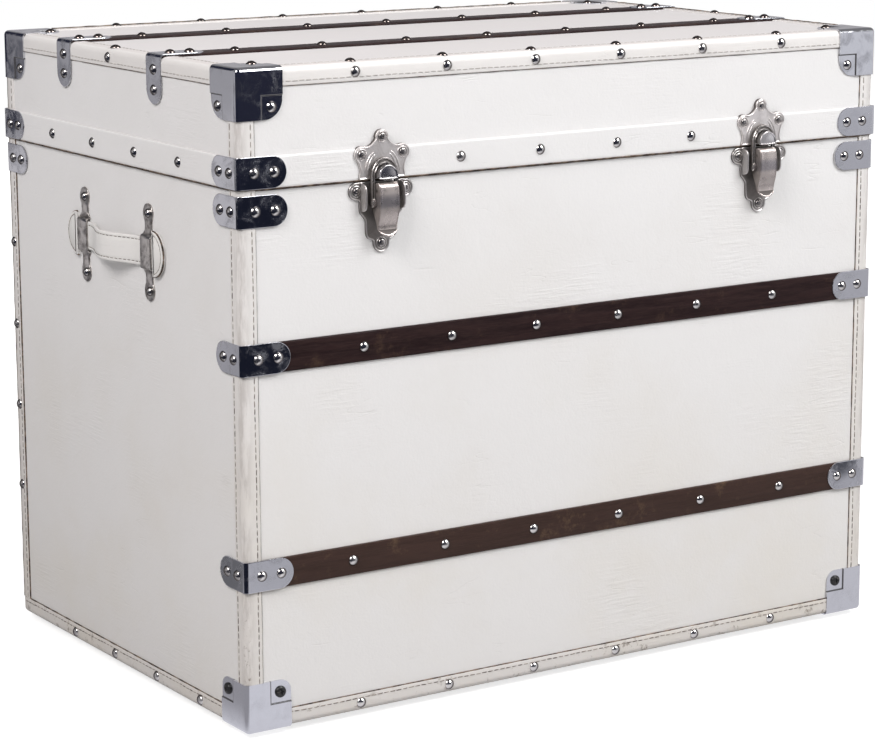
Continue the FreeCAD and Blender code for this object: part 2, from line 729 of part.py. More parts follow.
def handle_loop():
    """Stamped loop: two screw lobes and a raised bridge that the strap passes under."""
    t, w, neck = loop_sheet, loop_half_width, loop_neck_half_width
    rise = strap_seat_clearance + strap_thickness + strap_clearance
    gap = strap_width / 2 + strap_side_clearance
    screw = loop_screw_spacing / 2
    end = screw + loop_lobe_radius
    side = [(0, -end), (t, -end), (t, -gap - t), (rise + t, -gap - t), (rise + t, gap + t), (t, gap + t), (t, end),
            (0, end), (0, gap), (rise, gap), (rise, -gap), (0, -gap)]
    strip = prism([(-m, -w, z) for m, z in side], (0, 2 * w, 0))
    deep = rise + t
    body = box(-deep, 0, -w, w, -loop_body_half_length, loop_body_half_length)
    lobes = [stud((0, 0, z), loop_lobe_radius, (-deep, 0, 0)) for z in (-screw, screw)]
    return strip.common(fused(body, box(-deep, 0, -neck, neck, -screw, screw), *lobes))


def handle_strap():
    """Leather strap, bowed between its loops, with a wide D-shaped stop sewn to each end."""
    low, high = strap_seat_clearance, strap_seat_clearance + strap_thickness
    span = loop_spacing / 2 - loop_half_width - strap_flat_past_loop
    end = loop_spacing / 2 + loop_half_width + handle_end_play + handle_rest_clearance
    tail = end + stop_length / 2
    steps = [-span + 2 * span * i / strap_bow_steps for i in range(strap_bow_steps + 1)]
    bow = [(y, strap_bow * (1 + math.cos(math.pi * y / span)) / 2) for y in steps]
    under = [(y, low + m) for y, m in bow]
    over = [(y, high + m) for y, m in reversed(bow)]
    side = [(-tail, low)] + under + [(tail, low), (tail, high)] + over + [(-tail, high)]
    strap = prism([(-m, y, -strap_width / 2) for y, m in side], (0, 0, strap_width))
    squash = stop_length / (stop_height / 2)
    d_shape = [(end + squash * (y - end), z) for y, z in
               arc_points((end, 0), stop_height / 2, -90, 90, stamping_sides // 2)]
    stop = prism([(-low, y, z) for y, z in d_shape], (-strap_thickness - stop_extra_thickness, 0, 0))
    return fused(strap, stop, mirrored(stop, y=True))


def build_handles():
    """A strap handle in two loops on each end."""
    strap, loop = handle_strap(), handle_loop()
    x = half_width + leather_offset
    screws = [seated(loop_screw, (-loop_sheet, 0, z), (-1, 0, 0)) for z in spread(2, loop_screw_spacing)]
    for side, right in (("left", False), ("right", True)):
        add(f"{side}_handle", mirrored(moved(strap, -x, 0, handle_height), x=right))
        for y in spread(2, loop_spacing):
            add(f"{side}_handle_loops", mirrored(moved(loop, -x, y, handle_height), x=right))
            add("handle_screws", *[mirrored(moved(screw, -x, y, handle_height), x=right) for screw in screws])


def build_hinges():
    """Stop hinges: two leaves on one pin, and a lug on the lid's leaf that meets the base's
    leaf when the lid is fully open. Drawn about the seam on the back's leather, +Y outward."""
    w, k, n, r = hinge_width / 2, hinge_knuckle_length / 2, hinge_axis_out, hinge_knuckle_radius
    t, clear, seat = hinge_leaf, leaf_knuckle_clearance, band_thickness
    bore = pin((-w, n, 0), hinge_pin_radius + pin_running_clearance, (2 * w, 0, 0))
    base_pieces = []
    for side in (-1, 1):
        inner, outer = side * (k + hinge_gap), side * w
        neck = [(0, -clear - 2.0), (t, -clear - 4.0), (n, -r), (n - r, -1.0), (t, -clear), (0, -clear)]
        base_pieces.append(prism([(inner, y, z) for y, z in neck], (outer - inner, 0, 0)))
        base_pieces.append(stud((inner, n, 0), r, (outer - inner, 0, 0)))
    base_leaf = fused(box(-w, w, 0, t, -base_leaf_drop, -clear), *base_pieces).cut(bore)
    lug = box(-k, k, t + hinge_gap, t + hinge_gap + stop_lug_thickness, -clear - stop_lug_length, -r / 2)
    lug.rotate(Vector(0, n, 0), Vector(1, 0, 0), lid_open_angle)
    lid_leaf = fused(box(-w, w, seat, seat + t, clear, lid_leaf_rise), box(-k, k, seat, seat + t, seam_gap, clear),
                     lug, stud((-k, n, 0), r, (2 * k, 0, 0))).cut(bore)
    shaft = pin((-w, n, 0), hinge_pin_radius, (2 * w, 0, 0))
    rivet_rows = {"base_rivets": (t, -(clear + base_leaf_drop) / 2 - 1.0),
                  "lid_rivets": (seat + t, (clear + lid_leaf_rise) / 2)}
    for x in spread(hinge_count, hinge_spacing):
        place = (x, half_depth + leather_offset, seam_height)
        add("hinge_base_leaves", moved(base_leaf, *place))
        add("hinge_lid_leaves", moved(lid_leaf, *place))
        add("hinge_pins", moved(shaft, *place))
        for node, (out, up) in rivet_rows.items():
            for side in spread(2, hinge_rivet_spacing):
                add(node, moved(seated(nail, (side, out, up), (0, 1, 0)), *place))


build_base_carcass()
build_lid_carcass()
build_linings()
build_leather()
build_bindings()
build_band()
build_front_slats()
build_top_slats()
build_clamps()
build_caps()
build_base_nails()
build_lid_nails()
build_glides()
build_latches()
build_handles()
build_hinges()

os.makedirs("parts", exist_ok=True)
for name, shapes in parts.items():
    shape = shapes[0] if len(shapes) == 1 else Part.makeCompound(shapes)
    shape.exportStep(f"parts/{name}.step")
    print(name, len(shape.Solids), "solids", round(shape.Volume / 1000, 2), "cm3", "valid" if shape.isValid() else "BAD")
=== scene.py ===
import bpy
import bmesh
import random
from math import asin, cos, pi, radians, sin, sqrt
from mathutils import Matrix, Vector, noise


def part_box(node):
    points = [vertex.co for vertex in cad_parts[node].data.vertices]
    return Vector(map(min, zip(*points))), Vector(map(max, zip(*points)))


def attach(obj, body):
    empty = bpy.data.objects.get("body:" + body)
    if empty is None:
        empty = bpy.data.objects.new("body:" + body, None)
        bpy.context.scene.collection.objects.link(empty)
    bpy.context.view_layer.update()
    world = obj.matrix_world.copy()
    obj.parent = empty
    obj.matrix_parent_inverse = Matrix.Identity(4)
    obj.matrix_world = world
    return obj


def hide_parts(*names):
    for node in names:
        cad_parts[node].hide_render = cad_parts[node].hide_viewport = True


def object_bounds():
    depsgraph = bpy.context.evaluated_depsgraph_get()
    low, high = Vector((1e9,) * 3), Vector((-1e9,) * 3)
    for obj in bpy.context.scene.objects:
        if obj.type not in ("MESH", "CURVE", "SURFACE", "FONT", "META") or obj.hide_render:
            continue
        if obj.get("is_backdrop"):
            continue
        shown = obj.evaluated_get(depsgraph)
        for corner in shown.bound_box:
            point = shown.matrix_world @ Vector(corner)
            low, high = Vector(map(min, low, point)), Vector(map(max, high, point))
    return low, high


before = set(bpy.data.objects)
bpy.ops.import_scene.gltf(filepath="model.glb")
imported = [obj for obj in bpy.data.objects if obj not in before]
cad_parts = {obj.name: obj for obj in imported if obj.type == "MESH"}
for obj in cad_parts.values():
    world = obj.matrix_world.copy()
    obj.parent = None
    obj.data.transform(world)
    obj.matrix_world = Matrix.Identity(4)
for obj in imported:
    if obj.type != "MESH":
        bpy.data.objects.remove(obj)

cad_low, cad_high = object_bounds()
random.seed(7)

# Camera
# A long lens from the front left, a little above the lid, where the photograph was taken
# from. The shifts put the trunk in the same part of the picture.
camera_azimuth = radians(-33.387)
camera_elevation = radians(11.433)
camera_roll = radians(-0.147)
camera_back = Vector((sin(camera_azimuth) * cos(camera_elevation),
                      -cos(camera_azimuth) * cos(camera_elevation), sin(camera_elevation)))
camera = bpy.data.objects.new("camera", bpy.data.cameras.new("camera"))
bpy.context.scene.collection.objects.link(camera)
bpy.context.scene.camera = camera
camera.data.lens = 117.31
camera.data.sensor_width = 36
camera.data.shift_x = -0.0230
camera.data.shift_y = -0.0118
camera.location = (-1.5497, -2.3824, 0.8441)
camera.rotation_mode = "QUATERNION"
camera.rotation_quaternion = ((-camera_back).to_track_quat("-Z", "Y")
                              @ Matrix.Rotation(camera_roll, 3, "Z").to_quaternion())

# Studio
# A white floor, large soft lamps above on both sides, and a white world for the camera.
# Metal sees a dim studio instead, with dark spaces towards the front and the back right.
bpy.context.scene.view_settings.view_transform = "Standard"


class Output:
    """Output of a shader node, on which plain arithmetic adds more nodes."""

    def __init__(self, socket):
        self.socket, self.tree = socket, socket.id_data

    def __add__(self, other):
        return maths("ADD", self, other)

    def __sub__(self, other):
        return maths("SUBTRACT", self, other)

    def __rsub__(self, other):
        return maths("SUBTRACT", other, self)

    def __mul__(self, other):
        return maths("MULTIPLY", self, other)

    def __truediv__(self, other):
        return maths("DIVIDE", self, other)

    def __abs__(self):
        return maths("ABSOLUTE", self)


def set_inputs(node, inputs):
    """Inputs of a node set to values or linked to outputs."""
    for name, value in inputs.items():
        if isinstance(value, Output):
            value.tree.links.new(value.socket, node.inputs[name])
        else:
            node.inputs[name].default_value = value


def add_node(tree, kind, inputs=None, **settings):
    """A shader node with its settings and inputs."""
    node = tree.nodes.new("ShaderNode" + kind)
    for name, value in settings.items():
        setattr(node, name, value)
    set_inputs(node, inputs or {})
    return node


def output_of(tree, kind, inputs=None, output=0, **settings):
    """One output of a new shader node."""
    return Output(add_node(tree, kind, inputs, **settings).outputs[output])


def tree_of(values):
    return next(value.tree for value in values if isinstance(value, Output))


def maths(operation, *values):
    """One step of arithmetic on values."""
    return output_of(tree_of(values), "Math", dict(enumerate(values)), operation=operation)


def ramp(value, low, high, to_low=0.0, to_high=1.0):
    """Smooth step of a value between two limits."""
    limits = {"Value": value, "From Min": low, "From Max": high, "To Min": to_low, "To Max": to_high}
    return output_of(value.tree, "MapRange", limits, interpolation_type="SMOOTHSTEP")


def mixed(factor, first, second):
    """Two colours mixed."""
    colours = [(*colour, 1) if isinstance(colour, tuple) else colour for colour in (first, second)]
    inputs = dict(zip((0, 6, 7), (factor, *colours)))
    return output_of(tree_of(inputs.values()), "Mix", inputs, 2, data_type="RGBA")


def split(place):
    """The X, Y and Z of a place or a direction."""
    return [Output(socket) for socket in add_node(place.tree, "SeparateXYZ", {0: place}).outputs]


def towards_front_left(place):
    """How far a place or a direction lies towards the front left."""
    inputs = {0: place, 1: (-0.80, -0.60, 0.0)}
    return output_of(place.tree, "VectorMath", inputs, "Value", operation="DOT_PRODUCT")


def distance(place):
    return output_of(place.tree, "VectorMath", {0: place}, "Value", operation="LENGTH")


world = bpy.data.worlds.new("studio")
bpy.context.scene.world = world
world.use_nodes = True
tree = world.node_tree
tree.nodes.clear()
where = output_of(tree, "TexCoord", output="Generated")
x, y, z = split(where)
is_front = maths("LESS_THAN", y, 0.0)
sideways = x / y
front_dark = is_front * ramp(sideways, -0.80, -0.70)
back_dark = ramp(sideways, -0.474, -0.456) * ramp(sideways, 0.0, 0.1, 1.0, 0.0)
dark = mixed(is_front, back_dark, front_dark)
dark = mixed(ramp(towards_front_left(where), 0.76, 0.90), dark, (1, 1, 1))
around = mixed(ramp(y, -0.5, 0.5), (0.78, 0.78, 0.82), (0.42, 0.41, 0.43))
around = mixed(ramp(z, 0.2, 0.5), around, (0.24, 0.235, 0.24))
in_metal = mixed(dark, around, (0.024, 0.026, 0.045))
rays = add_node(tree, "LightPath").outputs
light = mixed(Output(rays["Is Glossy Ray"]), (0.34, 0.34, 0.345), in_metal)
light = mixed(Output(rays["Is Camera Ray"]), light, (1, 1, 1))
set_inputs(add_node(tree, "OutputWorld"), {"Surface": output_of(tree, "Background", {"Color": light})})

white = (1, 1, 1)
middle = (cad_low + cad_high) / 2
for name, place, width, height, power, in_metal, colour in (
        ("lamp_front_right", (1.6, -2.5, 2.8), 1.8, 1.6, 104, True, white),
        ("lamp_front_left", (-2.6, -1.3, 2.7), 1.4, 1.4, 80, True, (1.0, 0.965, 0.955)),
        ("lamp_above", (0.2, 0.3, 2.8), 2.0, 1.6, 6, False, (1.0, 0.97, 0.96)),
        ("lamp_behind", (0.4, 2.9, 1.9), 1.6, 1.2, 10, False, white)):
    lamp = bpy.data.lights.new(name, "AREA")
    lamp.shape, lamp.size, lamp.size_y, lamp.energy, lamp.color = "RECTANGLE", width, height, power, colour
    obj = bpy.data.objects.new(name, lamp)
    bpy.context.scene.collection.objects.link(obj)
    obj.location = place
    obj.rotation_euler = (middle - Vector(place)).to_track_quat("-Z", "Y").to_euler()
    obj.visible_glossy = in_metal

floor_half = 4.0
floor_corners = [(x * floor_half, y * floor_half, 0) for x, y in ((-1, -1), (1, -1), (1, 1), (-1, 1))]
floor_mesh = bpy.data.meshes.new("floor")
floor_mesh.from_pydata(floor_corners, [], [(0, 1, 2, 3)])
floor = bpy.data.objects.new("floor", floor_mesh)
bpy.context.scene.collection.objects.link(floor)
floor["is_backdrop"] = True

floor_paper = bpy.data.materials.new("floor_paper")
floor_mesh.materials.append(floor_paper)
floor_paper.use_nodes = True
tree = floor_paper.node_tree
tree.nodes.clear()
where = output_of(tree, "TexCoord", output="Object")
x, y, z = split(where)
# For glossy rays the floor glows with a painted reflection of the studio: dark far in front, pale near the trunk,
# grey behind, with painted shade in patches in front of the trunk and beside it.
far_front = ramp(y, -1.5, -0.75, 1.0, 0.0) * ramp(x + y * 0.65, -0.2, 0.15, 1.0, 0.0)
far_front = maths("MAXIMUM", far_front, ramp(towards_front_left(where), 0.62, 0.80))
beyond = mixed(ramp(y, 0.9, 2.3), (0.38, 0.37, 0.395), (0.62, 0.60, 0.62))
near = mixed(ramp(x, -0.25, -0.1), (0.83, 0.82, 0.87), (0.72, 0.71, 0.75))
by_right = ramp(x, 0.58, 0.66) * ramp(x, 0.9, 1.0, 1.0, 0.0)
by_right = by_right * (ramp(y, -1.02, -0.94) * ramp(y, -0.72, -0.66, 1.0, 0.0))
shade = maths("MAXIMUM", ramp(y, -0.68, -0.50, 0.28, 0.0), by_right * 0.93)
in_front = ramp(y, -0.3, 0.3, 1.0, 0.0) * ramp(x, -0.42, -0.36)
in_metal = mixed(in_front, beyond, mixed(shade, near, (0.05, 0.052, 0.065)))
beside = ramp(y, 0.08, 0.20) * ramp(y, 0.45, 0.80, 1.0, 0.0) * ramp(x, -0.46, -0.42, 1.0, 0.0)
in_metal = mixed(far_front, mixed(beside * 0.75, in_metal, (0.10, 0.10, 0.105)), (0.012, 0.014, 0.025))
paper = output_of(tree, "BsdfDiffuse", {"Color": (0.45, 0.445, 0.44, 1)})
lift = output_of(tree, "Emission", {"Strength": ramp(distance(where), 1.1, 2.2, 0.74, 1.0)})
lifted = output_of(tree, "AddShader", {0: paper, 1: lift})
glow = output_of(tree, "Emission", {"Color": in_metal})
rays = add_node(tree, "LightPath").outputs
seen = output_of(tree, "MixShader", {0: Output(rays["Is Camera Ray"]), 1: paper, 2: lifted})
seen = output_of(tree, "MixShader", {0: Output(rays["Is Glossy Ray"]), 1: seen, 2: glow})
set_inputs(add_node(tree, "OutputMaterial"), {"Surface": seen})


# Plywood carcass
# Ten millimetre birch plywood, glued and nailed at the corners. It shows only where the
# open lid uncovers the rims, as pale cut layers.
def clouds(place, scale, detail, roughness=0.5, distortion=0.0):
    """Cloudy noise about a half."""
    return output_of(place.tree, "TexNoise", {"Vector": place, "Scale": scale, "Detail": detail,
                                              "Roughness": roughness, "Distortion": distortion})


def pressed(place, scale):
    """A place with each of its axes pressed together or drawn out."""
    return output_of(place.tree, "VectorMath", {0: place, 1: scale}, operation="MULTIPLY")


def new_group(name, inputs, outputs):
    """Node group with a place, named float inputs and float outputs."""
    group = bpy.data.node_groups.new(name, "ShaderNodeTree")
    group.interface.new_socket("Place", in_out="INPUT", socket_type="NodeSocketVector")
    for label, value in inputs.items():
        group.interface.new_socket(label, in_out="INPUT", socket_type="NodeSocketFloat").default_value = value
    for label in outputs:
        group.interface.new_socket(label, in_out="OUTPUT", socket_type="NodeSocketFloat")
    given = group.nodes.new("NodeGroupInput").outputs
    return group, [Output(given[label]) for label in ("Place", *inputs)], group.nodes.new("NodeGroupOutput")


def use_group(group, place, **values):
    """The outputs of a placed node group with its values."""
    node = place.tree.nodes.new("ShaderNodeGroup")
    node.node_tree = group
    set_inputs(node, {"Place": place, **values})
    return {socket.name: Output(socket) for socket in node.outputs}


wood_grain, (place, stretch, scale), out = new_group("wood_grain", {"Stretch": 14.0, "Scale": 90.0},
                                                     ["Streaks", "Pores"])
along = pressed(place, output_of(wood_grain, "CombineXYZ", {0: 1.0, 1: stretch, 2: stretch}))
set_inputs(out, {"Streaks": ramp(clouds(along, 9.0, 6.0, 0.62, 0.4), 0.34, 0.68),
                 "Pores": ramp(clouds(along, scale, 3.0, 0.7), 0.42, 0.66)})


def new_material(name, colour, roughness, metallic=0.0, more=None):
    """Material with its Principled shader and the object's own coordinates."""
    material = bpy.data.materials.new(name)
    material.use_nodes = True
    shader = material.node_tree.nodes["Principled BSDF"]
    set_inputs(shader, {"Base Color": (*colour, 1), "Roughness": roughness, "Metallic": metallic, **(more or {})})
    return material, shader, output_of(material.node_tree, "TexCoord", output="Object")


def bump(height, distance, strength=1.0):
    """Small relief from a height."""
    return output_of(height.tree, "Bump", {"Height": height, "Distance": distance, "Strength": strength})


def cover(nodes, material):
    """CAD nodes shown as they are, in a material."""
    for node in nodes:
        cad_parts[node].data.materials.clear()
        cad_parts[node].data.materials.append(material)


plywood, shader, place = new_material("plywood", (0.62, 0.46, 0.29), 0.62)
grain = use_group(wood_grain, place, Stretch=9.0)
colour = mixed(grain["Streaks"], (0.50, 0.35, 0.21), (0.68, 0.52, 0.34))
colour = mixed(grain["Pores"], mixed(0.25, colour, (0.30, 0.19, 0.10)), colour)
set_inputs(shader, {"Base Color": colour, "Normal": bump(grain["Pores"], 0.0001)})
cover(["base_front_panel", "base_back_panel", "base_left_panel", "base_right_panel", "base_bottom_panel",
       "lid_top_panel", "lid_front_rail", "lid_back_rail", "lid_left_rail", "lid_right_rail"], plywood)


# Leather skins
# One hide over the base and one over the lid, off-white, glued down with small creases,
# greyed in clouds and specks and greyer towards the bottom, and darker on their upward faces as painted shade.
# Both turn softly round the corners of the wood.
leather_thickness = 0.0012
leather_corner = 0.0055
leather_wave = 0.00012

creases, (place, amount), out = new_group("leather_creases", {"Amount": 1.0}, ["Height", "Lines"])
tip = {"Vector": pressed(place, (0.30, 0.30, 2.0)), "Axis": (0.3, 1.0, 0.0), "Angle": 0.5}
tipped = output_of(creases, "VectorRotate", tip)
line = ramp(abs(clouds(tipped, 30.0, 2.0, 0.45, 0.15) - 0.5), 0.0, 0.012, 1.0, 0.0)
line = line * ramp(clouds(place, 24.0, 3.0), 0.57, 0.70)
wrinkle = ramp(clouds(pressed(place, (44.0, 44.0, 420.0)), 1.0, 3.0, 0.5, 0.25), 0.40, 0.66)
wrinkle = wrinkle * ramp(clouds(place, 11.0, 2.0), 0.50, 0.74)
height = clouds(place, 420.0, 3.0, 0.6) * 0.13 + clouds(place, 60.0, 4.0, 0.6, 0.6) * 0.26
set_inputs(out, {"Height": (height + wrinkle * 0.13 - line * 0.13) * amount, "Lines": line})

soiling, (place, low, high), out = new_group("soiling", {"Low": 0.02, "High": 0.5}, ["Grey", "Yellow"])
# Besides clouds and specks, Grey rises smoothly towards the bottom, from High down to Low, as a plain gradient by
# height; Yellow follows it in clouds.
low = output_of(soiling, "MapRange", {"Value": split(place)[2], "From Min": high, "From Max": low})
cloud = ramp(clouds(place, 5.0, 7.0, 0.6), 0.42, 0.75)
speck = ramp(clouds(place, 75.0, 4.0, 0.7), 0.66, 0.78)
set_inputs(out, {"Grey": cloud * 0.5 + speck * 0.35 + low * 1.05, "Yellow": low * cloud})


def leather_material(name, colour, soiled, crease=1.0, roughness=0.52):
    """White leather with grain, creases and soiling, greyer towards the bottom, and darker on its upward faces
    and along its crease lines as painted shade.
    """
    material, shader, place = new_material(name, colour, roughness, 0.0, {"Specular IOR Level": 0.42})
    creased = use_group(creases, place, Amount=crease)
    soil = use_group(soiling, place)
    grey, yellow, painted_top_shade = (tuple(c * s for c, s in zip(colour, shares)) for shares in
                           ((0.80, 0.78, 0.76), (0.93, 0.88, 0.76), (0.86, 0.835, 0.83)))
    tone = mixed(soil["Grey"] * soiled, colour, grey)
    tone = mixed(soil["Yellow"] * (soiled * 0.9), tone, yellow)
    # Painted shade: the crease lines are darkened a little in colour.
    tone = mixed(creased["Lines"] * 0.06, tone, (0.45, 0.42, 0.39))
    # Painted shade: faces that look upward take a darker copy of the tone.
    up = split(output_of(place.tree, "TexCoord", output="Normal"))[2]
    set_inputs(shader, {"Base Color": mixed(ramp(up, 0.8, 1.0), tone, painted_top_shade),
                        "Roughness": ramp(soil["Grey"], 0.0, 1.0, roughness - 0.05, roughness + 0.16),
                        "Normal": bump(creased["Height"], 0.0011)})
    return material


white_leather = leather_material("white_leather", (0.80, 0.792, 0.791), 0.40)


def angles(start, end, count):
    """Even angles in radians, from one to another in degrees."""
    return [radians(start + (end - start) * k / (count - 1)) for k in range(count)]


def loft(rings, closed=False):
    """Shape made of rings of points joined by quads, with caps on its first and last ring."""
    count = len(rings[0])
    points = [p for ring in rings for p in ring]
    faces = []
    for i in range(len(rings) if closed else len(rings) - 1):
        a, b = i * count, ((i + 1) % len(rings)) * count
        faces += [(a + j, a + (j + 1) % count, b + (j + 1) % count, b + j) for j in range(count)]
    if not closed:
        faces += [tuple(range(count)), tuple(range(len(points) - 1, len(points) - 1 - count, -1))]
    return points, faces


def joined(shapes):
    """Several shapes as one."""
    points, faces = [], []
    for some_points, some_faces in shapes:
        start = len(points)
        points += some_points
        faces += [tuple(start + i for i in face) for face in some_faces]
    return points, faces


def placed(shape, matrix):
    """Copy of a shape, moved by a matrix."""
    return [matrix @ Vector(p) for p in shape[0]], shape[1]


def flipped(x=False, y=False, z=False):
    """Matrix that mirrors through the planes at zero that are asked for."""
    return Matrix.Diagonal((-1 if x else 1, -1 if y else 1, -1 if z else 1, 1))


def piece(name, shape, body, material, nodes=(), sharp=40, weld=False):
    """Object made of a shape, that rides on a body and stands for CAD nodes."""
    mesh = bpy.data.meshes.new(name)
    mesh.from_pydata([tuple(p) for p in shape[0]], [], shape[1])
    build = bmesh.new()
    build.from_mesh(mesh)
    if weld:
        bmesh.ops.remove_doubles(build, verts=build.verts, dist=1e-5)
    bmesh.ops.recalc_face_normals(build, faces=build.faces)
    build.to_mesh(mesh)
    build.free()
    mesh.polygons.foreach_set("use_smooth", [True] * len(mesh.polygons))
    mesh.set_sharp_from_angle(angle=radians(sharp))
    mesh.materials.append(material)
    obj = bpy.data.objects.new(name, mesh)
    bpy.context.scene.collection.objects.link(obj)
    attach(obj, body)
    if nodes:
        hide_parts(*nodes)


def rounded_loop(half_x, half_y, radius, z, long_steps=44, short_steps=30):
    """Rectangle with round corners at a height."""
    points = []
    for sx, sy, start in ((1, -1, -90), (1, 1, 0), (-1, 1, 90), (-1, -1, 180)):
        centre = Vector((sx * (half_x - radius), sy * (half_y - radius), z))
        points += [centre + Vector((cos(a), sin(a), 0)) * radius for a in angles(start, start + 90, 6)]
        along_y = sx * sy < 0
        steps, half = (short_steps, half_y) if along_y else (long_steps, half_x)
        side = Vector((0, sx, 0) if along_y else (-sx, 0, 0)) * 2 * (half - radius)
        points += [points[-1] + side * i / steps for i in range(1, steps)]
    return points


def hide_skin(node, rim, closed_end):
    """Shell of leather with a thickness, open at its rim and softly rounded at its closed end."""
    x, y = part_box(node)[1].xy
    turn = 1 if closed_end < rim else -1
    r, t, sharp, levels, insets = leather_corner, leather_thickness, 0.0004, 22, 16
    straight = closed_end + turn * r - rim
    rings = [rounded_loop(x, y, r, rim + straight * i / levels) for i in range(levels + 1)]
    for a in angles(0, 90, 6)[1:]:
        inset, z = r * (1 - cos(a)), closed_end + turn * r * (1 - sin(a))
        rings.append(rounded_loop(x - inset, y - inset, max(r - inset, sharp), z))
    for i in range(1, insets):
        inset = r + (y - r - 0.004) * i / insets
        rings.append(rounded_loop(x - inset, y - inset, sharp, closed_end))
    for p in (p for ring in rings for p in ring):
        swell = leather_wave * (noise.noise(p * 22) + 0.5 * noise.noise(p * 60))
        out = [round(share, 1) if abs(share) > 0.98 else 0 for share in (p.x / x, p.y / y)]
        if any(out):
            p += Vector((*out, 0)) * swell
        else:
            p.z -= turn * abs(swell)
    inner = [rounded_loop(x - t, y - t, 0.001, z) for z in (closed_end + turn * t, rim)]
    return loft(inner + rings)


base_skin_low, base_skin_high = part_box("base_leather")
lid_skin_low, lid_skin_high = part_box("lid_leather")
for body, rim, closed_end in (("base", base_skin_high.z, base_skin_low.z),
                              ("lid", lid_skin_low.z, lid_skin_high.z)):
    piece(f"{body}_hide", hide_skin(f"{body}_leather", rim, closed_end), body, white_leather,
          [f"{body}_leather"])


# Leather bindings
# Strips of the same leather, stitched over the bottom edge, the top edge and the four
# upright corners of base and lid. Their cut edges are brown and slightly wavy.
binding_width = 0.017
binding_thickness = 0.0012
binding_corner = 0.0062
binding_edge_round = 0.0004
binding_low, binding_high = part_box("base_bottom_binding")
top_binding_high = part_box("lid_top_binding")[1]
half_x, half_y = binding_high.xy


def reopened(material):
    """A material's shader, its colour so far and the object's own coordinates."""
    shader = material.node_tree.nodes["Principled BSDF"]
    colour = Output(shader.inputs["Base Color"].links[0].from_socket)
    return shader, colour, output_of(material.node_tree, "TexCoord", output="Object")


binding_leather = leather_material("binding_leather", (0.776, 0.755, 0.740), 0.62, crease=0.9, roughness=0.5)
shader, colour, place = reopened(binding_leather)
x, y, z = split(place)
from_corner = maths("MAXIMUM", 0.3624 - abs(x), 0.2364 - abs(y))
rubbed = ramp(from_corner, 0.0020, 0.0125, 1.0, 0.0)
rubbed = rubbed * ramp(clouds(pressed(place, (160.0, 160.0, 26.0)), 1.0, 5.0, 0.65), 0.38, 0.60)
colour = mixed(rubbed * 0.46, colour, (0.36, 0.325, 0.305))
stains = clouds(place, 95.0, 6.0, 0.72)
low = ramp(z, 0.006, 0.045, 1.0, 0.0) * ramp(stains, 0.55, 0.68)
colour = mixed(low * 0.75, colour, (0.16, 0.12, 0.085))
scuffs = ramp(clouds(place, 300.0, 4.0, 0.7), 0.57, 0.64) * ramp(from_corner, 0.0015, 0.0065, 1.0, 0.0)
colour = mixed(scuffs * ramp(z, 0.05, 0.17, 0.85, 0.0), colour, (0.15, 0.10, 0.075))
at_end, at_back, on_top = ramp(abs(x), 0.3592, 0.3612), ramp(y, 0.2332, 0.2352), ramp(z, 0.6008, 0.6028)
worn_through = maths("MAXIMUM", on_top * (at_end * ramp(x, 0.0, 0.1)), at_back * maths("MAXIMUM", on_top, at_end))
worn_through = worn_through * ramp(stains, 0.34, 0.50)
set_inputs(shader, {"Base Color": mixed(worn_through * 0.85, colour, (0.23, 0.13, 0.075))})


def edge_points(width):
    """Half of a strip's section out to its cut edge, as (along, out) pairs."""
    t, e = binding_thickness, binding_edge_round
    return [(width - e * 3, t), (width - e, t - e * 0.35), (width, t - e * 1.3), (width, 0)]


def corner_strip(low, high):
    """Strip folded round an upright edge at the front left."""
    r, t, w = binding_corner, binding_thickness, binding_width
    rings = []
    steps = max(4, round((high - low) / 0.009))
    for i in range(steps + 1):
        z = low + (high - low) * i / steps
        first, second = (edge_points(w + 0.0003 * noise.noise(Vector((z * 60, k * 7.0, half_x)))) for k in (0, 1))
        section = [(along, t - out) for along, out in first[::-1]] + [(w * 0.6, -0.0001)]
        section += [(r + r * cos(a), r + r * sin(a)) for a in angles(270, 180, 7)] + [(-0.0001, w * 0.6)]
        section += [(t - out, along) for along, out in second]
        section += [(r + (r - t) * cos(a), r + (r - t) * sin(a)) for a in angles(180, 270, 5)]
        rings.append([Vector((x, y, z)) for x, y in section])
    return placed(loft(rings), Matrix.Translation((-half_x, -half_y, 0)))


def four_corners(shape):
    """A shape at the front left corner and its mirror images at the other three."""
    return joined([placed(shape, flipped(x=right, y=back)) for right in (False, True) for back in (False, True)])


def rim_strip(level, turn):
    """Strip folded round the whole bottom or top edge; turn is +1 where the trunk is above it."""
    r, t, w = binding_corner, binding_thickness, binding_width
    section = [(out - t, along) for along, out in edge_points(w)[::-1]]
    section += [(-r + r * cos(a), r - r * sin(a)) for a in angles(0, 90, 7)]
    section += [(-along, t - out) for along, out in edge_points(w)]
    section += [(-r + (r - t) * cos(a), r - (r - t) * sin(a)) for a in angles(90, 0, 5)]
    rings = [rounded_loop(half_x + out, half_y + out, max(r + out, 0.0003), level + turn * up)
             for out, up in section]
    for p in (p for ring in rings[1:4] for p in ring):
        p.z += 0.00022 * noise.noise(p * 55)
    return loft(rings, closed=True)


for name, level, turn, body, node in (("bottom", binding_low.z, 1, "base", "base_bottom_binding"),
                                      ("top", top_binding_high.z, -1, "lid", "lid_top_binding")):
    piece(f"{name}_edge_strip", rim_strip(level, turn), body, binding_leather, [node])
for body in ("base", "lid"):
    low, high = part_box(f"{body}_corner_bindings")
    piece(f"{body}_corner_strips", four_corners(corner_strip(low.z, high.z)), body,
          binding_leather, [f"{body}_corner_bindings"])


# Raw edges
# Where the bindings, the band and the skins were cut after gluing, the brown core of the
# leather shows as a thin uneven line. It also shows where the far edges are worn through.
bead = 0.0007
raw_edge, shader, place = new_material("raw_leather_edge", (0.10, 0.065, 0.045), 0.8)
patch = clouds(place, 160.0, 4.0)
set_inputs(shader, {"Base Color": mixed(ramp(patch, 0.35, 0.7), (0.035, 0.022, 0.017), (0.24, 0.175, 0.13)),
                    "Normal": bump(patch, 0.0002)})


